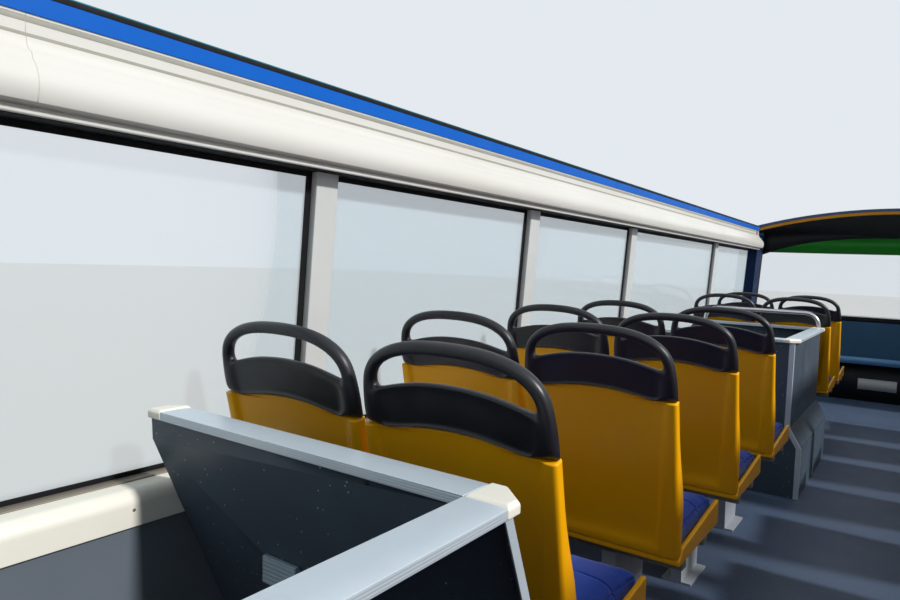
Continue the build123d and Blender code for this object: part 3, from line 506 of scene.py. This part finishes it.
# Nodes whose CAD form is right: node, piece, finish and edge radius in millimetres
dressed = (
    ("floor_boards", "floorBoards", "deckVinyl", 1.5),
    ("floor_sills", "floorSills", "coatedSteel", 2),
    ("floor_crossmembers", "crossMembers", "coatedSteel", 2.5),
    ("well_trimmers", "wellTrimmers", "coatedSteel", 2.5),
    ("side_panels_left", "leftPanels", "blueEnamel", 1),
    ("side_panels_right", "rightPanels", "blueEnamel", 1),
    ("side_linings", "sideLinings", "wallLaminate", 1),
    ("rear_lining", "rearLining", "wallLaminate", 1),
    ("waist_ledge_left", "leftLedge", "creamMoulding", 2),
    ("waist_ledge_right", "rightLedge", "creamMoulding", 2),
    ("rear_ledge", "rearLedge", "creamMoulding", 2),
    ("window_pillars", "windowPillars", "pillarEnamel", 3),
    ("window_seals", "windowSeals", "glazingRubber", 0.8),
    ("window_panes", "windowPanes", "clearGlass", 0.8),
    ("coaming_left", "leftCoaming", "whiteEnamel", 0.9),
    ("coaming_right", "rightCoaming", "whiteEnamel", 0.9),
    ("coaming_rear", "rearCoaming", "whiteEnamel", 0.9),
    ("coaming_bands", "blueBands", "brightBlueEnamel", 0.8),
    ("coaming_ends", "coamingEnds", "whiteEnamel", 2),
    ("coaming_corners", "coamingCorners", "whiteEnamel", 6),
    ("rear_posts", "rearPosts", "postEnamel", 6),
    ("front_posts", "frontPosts", "postEnamel", 4),
    ("front_panel", "frontPanel", "blueEnamel", 1),
    ("rear_panel", "rearPanel", "blueEnamel", 1),
    ("front_bulkhead", "frontBulkhead", "bulkheadLaminate", 1.5),
    ("dash_top", "dashTop", "creamMoulding", 2),
    ("windscreen", "windscreenGlass", "clearGlass", 1),
    ("canopy", "canopyShell", "blueEnamel", 2.5),
    ("canopy_stripe", "canopyStripe", "amberStripe", 1.5),
    ("canopy_lining", "canopyLining", "blackLining", 1.5),
    ("seat_pans", "seatPans", "yellowPlastic", 5),
    ("seat_beams", "seatBeams", "beamAluminium", 4),
    ("seat_pedestals", "seatPedestals", "greyPowder", 3),
    ("rear_well_panels", "rearStairPanels", "panelLaminate", 1.5),
    ("front_well_panels", "frontStairPanels", "panelLaminate", 1.5),
    ("well_caps", "stairCaps", "anodisedAlong", 1.2),
    ("well_corners", "stairCorners", "creamMoulding", 2.5),
    ("well_trims", "stairTrims", "anodisedAlong", 0.8),
    ("well_lamp", "stairLamp", "lampMoulding", 3),
    ("front_well_hoop", "stairHoop", "brushedTube", 0),
)
for row in dressed:
    dressNode(*row)
print("dressed nodes:", len(dressed))


def solidBoxes(node):
    # low and high corner of each solid of a CAD node
    bm = bmesh.new()
    bm.from_mesh(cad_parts[node].data)
    bmesh.ops.remove_doubles(bm, verts=bm.verts, dist=weldGap)
    waiting = set(bm.verts)
    boxes = []
    while waiting:
        group = [waiting.pop()]
        for vert in group:
            for edge in vert.link_edges:
                other = edge.other_vert(vert)
                if other in waiting:
                    waiting.remove(other)
                    group.append(other)
        low = Vector([min(v.co[i] for v in group) for i in range(3)])
        high = Vector([max(v.co[i] for v in group) for i in range(3)])
        boxes.append((low, high))
    bm.free()
    return boxes


# Seats: sizes of one seat, with its back leaning about the joint between shell and top
seat = {
    "width": 442,
    "lean": 13.5,
    "thick": 30,
    "length": 475,
    "jointRise": 870,  # of the joint between shell and top, above the deck
    "jointFall": 20,  # of the joint from its level middle to its level ends
    "jointMiddle": 30,  # half width of the level middle
    "jointEnd": 175,  # where the level ends start
    "cushionSet": 146.9,  # from the joint line forward to the rear of the cushion
}
seatHalf = seat["width"] / 2
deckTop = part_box("floor_boards")[1].z
jointRise = mm(seat["jointRise"])
seatPlaces = []
for low, high in solidBoxes("seat_cushions"):
    seatPlaces.append(Vector(((low.x + high.x) / 2, low.y - mm(seat["cushionSet"]), deckTop)))


def between(value, low, high, first, last):
    # value's share of the way from low to high, taken from first to last
    share = min(1, max(0, (value - low) / (high - low)))
    return first + (last - first) * share


def jointAt(x):
    # rise of the joint line this far across: a low arch with level ends
    share = between(abs(x), seat["jointMiddle"], seat["jointEnd"], 0, 1)
    return -seat["jointFall"] * share * share * (3 - 2 * share)


def creased(bm, edges, amount):
    layer = bm.edges.layers.float["crease_edge"]
    for edge in edges:
        edge[layer] = amount


leanTurn = Matrix.Rotation(radians(seat["lean"]), 4, "X")
leaned = [Matrix.Translation(place + Vector((0, 0, jointRise))) @ leanTurn
          for place in seatPlaces]
upright = [Matrix.Translation(place) for place in seatPlaces]


def repeated(single, places):
    # one mesh with a copy of a single form at each place, given as a matrix
    mesh = bpy.data.meshes.new("single")
    single.to_mesh(mesh)
    single.free()
    bm = bmesh.new()
    for place in places:
        known = len(bm.verts)
        bm.from_mesh(mesh)
        bm.verts.ensure_lookup_table()
        bmesh.ops.transform(bm, matrix=place, verts=bm.verts[known:])
    bpy.data.meshes.remove(mesh)
    return bm


def smoothed(piece, levels):
    surface = piece.modifiers.new("smooth", "SUBSURF")
    surface.levels = levels
    surface.render_levels = levels
    return piece


# Top moulding: a loop handle over a recessed panel, between two uprights
topMould = {
    "upright": 37,
    "tube": 30,
    "depth": 32,
    "gap": 1,  # over the shell
    "side": 22,  # height of the mid point of an upright
    "base": 52,
    "rise": 176,
    "inset": 4,  # of the loop from the seat's side
    "innerFoot": 8,  # of the loop's inner curve over its outer one
    "crescent": 92,
    "crescentPower": 2.2,
    "midDrop": 4,  # of the panel's middle row
    "power": 2.5,
    "steps": 12,
    "columns": (150, 105, 55, 0),
    "rim": 9,
    "rimFoot": 2,  # what the rim keeps at the joint
    "recess": 9,
    "crease": 0.9,  # of the edge at the joint
}


def archPair(s, angle):
    # outer and inner point of the loop at an angle from the right foot
    points = []
    for half, base, top in (
        (seatHalf - s["inset"], s["base"], s["rise"]),
        (seatHalf - s["inset"] - s["tube"], s["base"] + s["innerFoot"], s["rise"] - s["tube"]),
    ):
        across = abs(cos(angle)) ** (2 / s["power"])
        x = half * across if cos(angle) > 0 else -half * across
        points.append((x, base + (top - base) * sin(angle) ** (2 / s["power"])))
    return points


def extrudedEdge(bm, edge, targets):
    # extrudes one edge and sets its two new ends, given in the order of the old ones
    first, second = edge.verts
    made = bmesh.ops.extrude_edge_only(bm, edges=[edge])["geom"]
    new = [v for v in made if isinstance(v, bmesh.types.BMVert)]
    for vert in new:
        near = min((first, second), key=lambda old: (old.co - vert.co).length)
        vert.co = targets[0] if near is first else targets[1]
    return next(e for e in made if isinstance(e, bmesh.types.BMEdge) and set(e.verts) == set(new))


def flat(x, z):
    return Vector((mm(x), 0, mm(z)))


def seatTop(s):
    bm = bmesh.new()
    bm.edges.layers.float.new("crease_edge")
    inner = seatHalf - s["upright"]
    rises = (jointAt(seatHalf) + s["gap"], s["side"])
    pairs = [((seatHalf, z), (inner, z)) for z in rises]
    for step in range(s["steps"] + 1):
        pairs.append(archPair(s, pi * step / s["steps"]))
    pairs += [((-seatHalf, z), (-inner, z)) for z in reversed(rises)]
    outer, inside = pairs[0]
    ends = [bm.verts.new(flat(*outer)), bm.verts.new(flat(*inside))]
    edge = bm.edges.new(ends)
    ladder = [edge]
    for outer, inside in pairs[1:]:
        first = edge.verts[0]
        swap = (first.co - flat(*pairs[len(ladder) - 1][0])).length > 1e-6
        targets = (flat(*inside), flat(*outer)) if swap else (flat(*outer), flat(*inside))
        edge = extrudedEdge(bm, edge, targets)
        ladder.append(edge)

    # panel: columns from the right upright to the left one, between the two arched edges
    def nearest(x, z):
        return min(bm.verts, key=lambda v: (v.co - flat(x, z)).length)

    def panelRises(x):
        low = jointAt(x) + s["gap"]
        fall = s["crescent"] - s["base"] - s["innerFoot"]
        high = s["crescent"] - fall * (abs(x) / inner) ** s["crescentPower"]
        return low, (low + high) / 2 - s["midDrop"], high

    base = pairs[len(rises)][1]
    right = [nearest(inner, rises[0]), nearest(inner, rises[1]), nearest(*base)]
    left = [nearest(-inner, rises[0]), nearest(-inner, rises[1]), nearest(-base[0], base[1])]
    columns = list(s["columns"]) + [-x for x in reversed(s["columns"][:-1])]
    last = right
    panel = []
    for x in columns:
        new = [bm.verts.new(flat(x, z)) for z in panelRises(x)]
        panel += [bm.faces.new((last[i], last[i + 1], new[i + 1], new[i])) for i in range(2)]
        last = new
    panel += [bm.faces.new((last[i], last[i + 1], left[i + 1], left[i])) for i in range(2)]
    bmesh.ops.recalc_face_normals(bm, faces=bm.faces)
    if bm.faces[0].normal.y > 0:
        bmesh.ops.reverse_faces(bm, faces=bm.faces)
    made = bmesh.ops.extrude_face_region(bm, geom=list(bm.faces), use_keep_orig=True)["geom"]
    moved = [v for v in made if isinstance(v, bmesh.types.BMVert)]
    bmesh.ops.translate(bm, vec=(0, mm(s["depth"]), 0), verts=moved)
    bmesh.ops.recalc_face_normals(bm, faces=bm.faces)
    foot = {v for v in bm.verts if v.co.z < mm(jointAt(v.co.x * 1000) + s["gap"] + 1)}
    bmesh.ops.inset_region(bm, faces=panel, thickness=mm(s["rim"]), depth=-mm(s["recess"]),
                           use_even_offset=True)
    for vert in {v for face in panel for v in face.verts}:
        # the recess runs down close to the joint, so its lowest points are let down
        if vert.co.z < mm(jointAt(vert.co.x * 1000) + s["rim"] + s["gap"] + 3):
            vert.co.z -= mm(s["rim"] - s["rimFoot"])
    atFoot = [e for e in bm.edges if e.verts[0] in foot and e.verts[1] in foot]
    creased(bm, atFoot, s["crease"])
    return bm


smoothed(finishPiece("seatTops", repeated(seatTop(topMould), leaned), "blackPlastic",
                     ["seat_tops"]), 2)
print("seat tops made")

# Shell: flanges that spread downwards round a recess, and leaf-shaped wings along its sides
shell = {
    "rows": (0, -6, -70, -150, -235, -325, -395, -438, -452, -468, -475),
    "flangeTop": 32,
    "flangeSpread": 33,
    "recess": 12,
    "recessFoot": 30,
    "wing": 60,
    "wingTop": 150,
    "wingLow": 325,
    "wingThick": 26,
    "foot": 16,
    "corner": 6,
    "footRecess": 0.5,  # what is left of the recess below its foot
    "capRim": 3,
    "topCrease": 0.9,
    "footCrease": 0.5,
}


def shellSection(s, row):
    # closed section at this row, from the middle of the rear face round the right side and back
    down, length, thick, corner = -row, seat["length"], seat["thick"], s["corner"]
    half = seatHalf - between(down, length - 10, length, 0, corner)
    inner = seatHalf - s["flangeTop"] - s["flangeSpread"] * down / length
    recess = s["recess"] if down < length - s["recessFoot"] else s["footRecess"]
    if down < s["wingLow"]:
        wing = between(down, s["wingTop"], s["wingLow"], thick, s["wing"])
    else:
        wing = between(down, s["wingLow"], length, s["wing"], s["foot"])
    wall = min(thick, wing)
    wingIn = half - s["wingThick"]
    # across and forward: over the recess and flange, round the wing, and back along the front face
    side = [
        (0, recess),
        (inner * 0.6, recess),
        (inner - 9, recess),
        (inner - 2, recess * 0.8),
        (inner + 5, recess * 0.12),
        (inner + 11, 0),
        (half - corner, 0),
        (half, corner * 0.8),
        (half, wing / 2),
        (half, wing - corner * 0.8),
        (half - corner, wing),
        (wingIn + 5, wing),
        (wingIn - 1, (wing + wall) / 2),
        (wingIn - 8, wall),
        (inner * 0.6, wall),
        (0, wall),
    ]
    return side + [(-x, y) for x, y in reversed(side[1:-1])]


def seatShell(s):
    bm = bmesh.new()
    bm.edges.layers.float.new("crease_edge")
    rings = []
    for row in s["rows"]:
        ring = []
        for x, y in shellSection(s, row):
            fall = jointAt(x) * between(-row, 0, s["wingTop"], 1, 0)
            ring.append(bm.verts.new((mm(x), mm(y), mm(row + fall))))
        rings.append([bm.edges.new((a, b)) for a, b in zip(ring, ring[1:] + ring[:1])])
    for upper, lower in zip(rings[:-1], rings[1:]):
        bmesh.ops.bridge_loops(bm, edges=upper + lower)
    for ring in (rings[0], rings[-1]):
        bmesh.ops.contextual_create(bm, geom=ring)
    caps = [f for f in bm.faces if len(f.verts) > 4]
    bmesh.ops.inset_individual(bm, faces=caps, thickness=mm(s["capRim"]), depth=0)
    bmesh.ops.recalc_face_normals(bm, faces=bm.faces)
    creased(bm, rings[0], s["topCrease"])
    creased(bm, rings[-1], s["footCrease"])
    return bm


smoothed(finishPiece("seatShells", repeated(seatShell(shell), leaned), "yellowPlastic",
                     ["seat_shells"]), 1)
print("seat shells made")

# Cushion and back pad: filled covers that pull in between their corners
cushion = {
    "width": 400, "depth": 388, "thick": 78, "crown": 12, "pull": 7, "cuts": 5,
    "voxel": 15, "pressure": 4, "cap": 7, "seamRise": 54, "seamDepth": 3.2, "channel": 2.6,
    "lift": 0.5,  # over the pan
}
backPad = {
    "width": 360, "depth": 290, "thick": 20, "crown": 5, "pull": 5, "cuts": 5,
    "voxel": 11, "pressure": 4, "cap": 4, "seamRise": 10, "seamDepth": 2.4, "channel": 2,
    "top": 50, "foot": 125,  # below the joint, and above the foot of the back
}
filling = {
    "steps": 20,
    "held": 4,  # height under which a cover doesn't move
    "relax": 0.5,
    "cornerAngle": 50,
    "cornerShare": 6,  # of the thickness that rounds the block's corners
}
# across a line of stitching: distance from it, and share of its depth
stitchRows = ((-7, 0), (7, 0), (-2.5, 0.5), (2.5, 0.5), (0, 1))


def crownedBlock(s):
    # block from the origin up, crowned on top and drawn in along its sides
    bm = bmesh.new()
    bmesh.ops.create_cube(bm, size=1)
    bmesh.ops.subdivide_edges(bm, edges=bm.edges, cuts=s["cuts"], use_grid_fill=True)
    for vert in bm.verts:
        x, y, z = 2 * vert.co.x, 2 * vert.co.y, vert.co.z + 0.5
        side = mm(s["width"] / 2) - mm(s["pull"]) * (1 - y * y) * abs(x)
        run = mm(s["depth"] / 2) - mm(s["pull"]) * (1 - x * x) * abs(y)
        crown = mm(s["crown"]) * (1 - x * x) * (1 - y * y) * z
        vert.co = Vector((x * side, y * run, z * mm(s["thick"] - s["crown"]) + crown))
    corners = sharpEdges(bm, filling["cornerAngle"])
    bmesh.ops.bevel(bm, geom=corners, offset=mm(s["thick"] / filling["cornerShare"]),
                    offset_type="OFFSET", affect="EDGES", segments=2, profile=0.5, material=-1,
                    clamp_overlap=True)
    bmesh.ops.recalc_face_normals(bm, faces=bm.faces)
    return bm


def evaluated(thing):
    graph = bpy.context.evaluated_depsgraph_get()
    return bpy.data.meshes.new_from_object(thing.evaluated_get(graph))


def inflated(block, s):
    # remeshes the block evenly and lets Blender's cloth fill it, with its underside held
    mesh = bpy.data.meshes.new("cover")
    block.to_mesh(mesh)
    block.free()
    cover = bpy.data.objects.new("cover", mesh)
    scene.collection.objects.link(cover)
    even = cover.modifiers.new("even", "REMESH")
    even.mode = "VOXEL"
    even.voxel_size = mm(s["voxel"])
    cover.data = evaluated(cover)
    cover.modifiers.clear()
    start = [vert.co.copy() for vert in cover.data.vertices]
    held = cover.vertex_groups.new(name="held")
    low = [i for i, place in enumerate(start) if place.z < mm(filling["held"])]
    held.add(low, 1.0, "REPLACE")
    cloth = cover.modifiers.new("cloth", "CLOTH")
    cloth.settings.vertex_group_mass = "held"
    cloth.settings.use_pressure = True
    cloth.settings.uniform_pressure_force = s["pressure"]
    cloth.settings.effector_weights.gravity = 0
    for step in range(1, filling["steps"] + 1):
        scene.frame_set(step)
    filled = evaluated(cover)
    for vert, place in zip(filled.vertices, start):
        move = vert.co - place
        if move.length > mm(s["cap"]):
            vert.co = place + move * (mm(s["cap"]) / move.length)
    cover.modifiers.clear()
    cover.data = filled
    scene.frame_set(1)
    bm = bmesh.new()
    bm.from_mesh(cover.data)
    bpy.data.objects.remove(cover)
    bmesh.ops.smooth_vert(bm, verts=bm.verts, factor=filling["relax"], use_axis_x=True,
                          use_axis_y=True, use_axis_z=True)
    return bm


def sewnLine(bm, place, along, depth, upward):
    # a line of stitching where a plane cuts the cover, drawn in between its two edges
    for offset, share in stitchRows:
        everything = bm.verts[:] + bm.edges[:] + bm.faces[:]
        made = bmesh.ops.bisect_plane(bm, geom=everything, dist=mm(0.2), plane_no=along,
                                      plane_co=place + along * mm(offset))["geom_cut"]
        bm.normal_update()
        line = [v for v in made if isinstance(v, bmesh.types.BMVert) and v.normal.z > upward]
        for vert, normal in [(vert, vert.normal.copy()) for vert in line]:
            vert.co -= normal * mm(depth * share)


def filledCover(s):
    # a sewn border round the sides and two channels across the face, after the filling
    bm = inflated(crownedBlock(s), s)
    sewnLine(bm, Vector((0, 0, mm(s["seamRise"]))), Vector((0, 0, 1)), s["seamDepth"], -0.9)
    for side in (-1, 1):
        middle = Vector((0, side * mm(s["depth"] / 6), 0))
        sewnLine(bm, middle, Vector((0, 1, 0)), s["channel"], 0.5)
    under = [v for v in bm.verts if v.normal.z < -0.99]
    flatEdges = [e for e in bm.edges if e.verts[0] in under and e.verts[1] in under]
    bmesh.ops.dissolve_limit(bm, angle_limit=radians(2), verts=under, edges=flatEdges)
    return bm


cushionLow, cushionHigh = solidBoxes("seat_cushions")[0]
cushionMesh = filledCover(cushion)
bmesh.ops.translate(cushionMesh, verts=cushionMesh.verts,
                    vec=(0, mm(seat["cushionSet"]) + (cushionHigh.y - cushionLow.y) / 2,
                         cushionLow.z - deckTop + mm(cushion["lift"])))
cushions = finishPiece("seatCushions", repeated(cushionMesh, upright), "blueCloth",
                       ["seat_cushions"])

padMesh = filledCover(backPad)
padMiddle = (seat["length"] - backPad["foot"] + backPad["top"]) / 2
bmesh.ops.rotate(padMesh, verts=padMesh.verts, matrix=Matrix.Rotation(radians(-90), 3, "X"))
bmesh.ops.translate(padMesh, verts=padMesh.verts, vec=(0, mm(seat["thick"]), -mm(padMiddle)))
pads = finishPiece("seatBackPads", repeated(padMesh, leaned), "blueCloth",
                   ["seat_back_pads"])
print("cushions and pads made")

# Trim that the CAD leaves to the scene. Sizes are distances from the middle of the deck
# and from the underside of the frame, and each bar stands just proud of what carries it
trim = {
    "rear": -4983,  # where the side coamings start
    "front": 4800,
    "cornerAt": 1098,  # of the rear coaming's ends
    "rearShift": 3885,  # from the section of a side to that of the rear
    "bow": 4164,  # radius of the bulkhead and windscreen
    "bowCuts": 31,
    "seamAt": -1996,
    "seamWidth": 1.4,
    "seamReach": 1182,  # from the middle to the furthest face that shows it
    "seamProud": 0.2,
    "seamThick": 0.8,
    "screwPitch": 500,
    "screwStart": -4777,
    "screwCount": 19,
    "screwRadius": 4,
    "screwDepth": 2,
    "screwAcross": 1162,
    "screwRise": 789,
    "plugRadius": 22,
    "plugDepth": 8,
    "plugAcross": 1173,
    "plugAlong": 4750,
    "plugRise": 1775,
    "archDrop": 125,  # of the header over the windscreen, at a metre from the middle
    "archPower": 2.8,
}


def bar(bm, low, high):
    # block between two corners in millimetres
    made = bmesh.ops.create_cube(bm, size=1)["verts"]
    for vert in made:
        vert.co = Vector([mm(high[i] if vert.co[i] > 0 else low[i]) for i in range(3)])
    return made


def deckRun(bm, s, near, far, low, high, rear=True):
    # bars along both sides, and across the rear where the coaming has the same section
    for way in (-1, 1):
        ends = sorted((way * near, way * far))
        bar(bm, (ends[0], s["rear"], low), (ends[1], s["front"], high))
    if rear:
        bar(bm, (-s["cornerAt"], -s["rearShift"] - far, low),
            (s["cornerAt"], -s["rearShift"] - near, high))


# piece, finish, slot, rounding, whether the rear has it, and near, far, low and high of each bar
runs = (
    ("bandGasket", "glazingRubber", "glazing_rubber", 0.4, True, ((1171.3, 1174, 1833.5, 1844.5),)),
    ("bandEdge", "tealEnamel", "band_blue", 0.3, True, ((1171.5, 1174, 1844.8, 1847.8),)),
    # groove bars: painted shade, grey strips set in the two grooves under the coaming's lips
    ("coamingGrooveShade", "paintedGrooveShade", "coaming_white", 0.3, True,
     ((1174.5, 1179, 1780.5, 1790), (1174.5, 1181, 1752.6, 1760.6))),
    ("coamingBead", "whiteEnamel", "coaming_white", 2.6, True, ((1144.8, 1156, 1604.6, 1616.2),)),
    ("headSeal", "glazingRubber", "glazing_rubber", 0.5, True, ((1157, 1221, 1603.4, 1606.4),)),
    ("glazingBead", "beadAluminium", "cap_aluminium", 0.8, False, ((1230, 1264, 829, 833.2),)),
)
for name, finish, slot, rounding, rear, bars in runs:
    run = bmesh.new()
    for sizes in bars:
        deckRun(run, trim, *sizes, rear=rear)
    rounded(run, rounding)
    finishPiece(name, run, finish, None)


def coamingSeam(s):
    # line where two lengths of a side's coaming meet: a thin slice of its face, set just proud
    bm = cadMesh("coaming_left")
    for place, way in ((s["seamAt"], -1), (s["seamAt"] + s["seamWidth"], 1)):
        bmesh.ops.bisect_plane(bm, geom=bm.verts[:] + bm.edges[:] + bm.faces[:], clear_outer=True,
                               plane_co=(0, mm(place), 0), plane_no=(0, way, 0))
    reach = -mm(s["seamReach"])
    hidden = [f for f in bm.faces if f.normal.x < 0.05 or f.calc_center_median().x < reach]
    bmesh.ops.delete(bm, geom=hidden, context="FACES")
    bmesh.ops.translate(bm, verts=bm.verts, vec=(mm(s["seamProud"]), 0, 0))
    bmesh.ops.solidify(bm, geom=bm.faces[:], thickness=mm(s["seamThick"]))
    bmesh.ops.mirror(bm, geom=bm.verts[:] + bm.edges[:] + bm.faces[:], axis="X", merge_dist=0)
    bmesh.ops.recalc_face_normals(bm, faces=bm.faces)
    return bm


finishPiece("coamingSeams", coamingSeam(trim), "paleFiller", None)


def bowedBar(name, finish, slot, low, high, arch=None, nodes=None):
    # bar across the front that follows its bow, with its lower edge cut to an arch if asked
    bm = bmesh.new()
    bar(bm, low, high)
    across = [e for e in bm.edges if abs(e.verts[0].co.x - e.verts[1].co.x) > mm(1)]
    bmesh.ops.subdivide_edges(bm, edges=across, cuts=trim["bowCuts"])
    middle = mm(low[2] + high[2]) / 2
    for vert in bm.verts:
        if arch and vert.co.z < middle:
            vert.co.z -= mm(arch * abs(vert.co.x) ** trim["archPower"])
        vert.co.y -= mm(trim["bow"]) - (mm(trim["bow"]) ** 2 - vert.co.x ** 2) ** 0.5
    return finishPiece(name, bm, finish, nodes)


# piece, finish, slot, low and high corner, and where they have them the arch and the CAD nodes.
# The green strip and its two ends stand 2 mm clear of the glass
bows = (
    # black panel below the shelf: painted shade, a black sheet over the bulkhead's lower part where
    # the shelf's shadow falls
    ("kickPanel", "blackLining", "bulkhead_laminate", (-1165, 5083, 172), (1165, 5085, 528)),
    ("shelfEdge", "paleBlueEnamel", "bulkhead_laminate", (-1165, 5004, 533), (1165, 5006, 599.5)),
    ("dashTrim", "blackLining", "bulkhead_laminate", (-1165, 5023, 940), (1165, 5025, 983.5)),
    ("bulkheadPlate", "pillarEnamel", "bulkhead_laminate", (-240, 5081, 283), (80, 5083.6, 388)),
    ("sunStrip", "greenFilm", "green_film", (-1131, 5147.6, 1590), (1131, 5149.6, 1760),
     None, ["sun_strip"]),
    ("stripLeft", "greenFilm", "green_film", (-1190, 5147.6, 1590), (-1131, 5149.6, 1760)),
    ("stripRight", "greenFilm", "green_film", (1131, 5147.6, 1590), (1190, 5149.6, 1760)),
    ("screenHeader", "blackLining", "black_lining", (-1150, 5143, 1748), (1150, 5147, 1800),
     trim["archDrop"]),
)
for row in bows:
    bowedBar(*row)

# Screw or plug head, as shares of its radius or depth
headShape = {"sides": 16, "top": 0.86, "rim": 0.34, "slope": 0.1, "sunk": 0.5}


def roundHead(radius, depth):
    # low round head with a sunk middle, facing up
    bm = bmesh.new()
    s = headShape
    bmesh.ops.create_cone(bm, cap_ends=True, segments=s["sides"], radius1=mm(radius),
                          radius2=mm(radius * s["top"]), depth=mm(depth))
    top = [f for f in bm.faces if f.normal.z > 0.9]
    bmesh.ops.inset_region(bm, faces=top, thickness=mm(radius * s["rim"]), depth=0)
    bmesh.ops.inset_region(bm, faces=top, thickness=mm(radius * s["slope"]),
                           depth=-mm(depth * s["sunk"]))
    return bm


def onSides(x, places, z):
    # matrices that set a head on both sides of the deck, facing the aisle
    made = []
    for way in (-1, 1):
        turn = Matrix.Rotation(radians(-90 * way), 4, "Y")
        made += [Matrix.Translation((mm(way * x), mm(y), mm(z))) @ turn for y in places]
    return made


screwPlaces = onSides(
    trim["screwAcross"],
    [trim["screwStart"] + trim["screwPitch"] * i for i in range(trim["screwCount"])],
    trim["screwRise"],
)
plugPlaces = onSides(trim["plugAcross"], (trim["plugAlong"],), trim["plugRise"])
screwHead = roundHead(trim["screwRadius"], trim["screwDepth"])
finishPiece("ledgeScrews", repeated(screwHead, screwPlaces), "bareSteel", None)
plugHead = roundHead(trim["plugRadius"], trim["plugDepth"])
finishPiece("coamingPlugs", repeated(plugHead, plugPlaces), "beadAluminium", None)
print("trim made")

# Floor under the deck: smooth cast screed, pale and dull
floorMaterial, _, floorShader = newMaterial("studioFloor")
floorShader.inputs["Base Color"].default_value = toLinear(lighting["floor"])
floorShader.inputs["Roughness"].default_value = lighting["floorRough"]
floorSheet = bmesh.new()
bmesh.ops.create_grid(floorSheet, x_segments=1, y_segments=1, size=lighting["floorReach"])
floorData = bpy.data.meshes.new("studioFloor")
floorSheet.to_mesh(floorData)
floorSheet.free()
floorData.materials.append(floorMaterial)
studioFloor = bpy.data.objects.new("studioFloor", floorData)
scene.collection.objects.link(studioFloor)
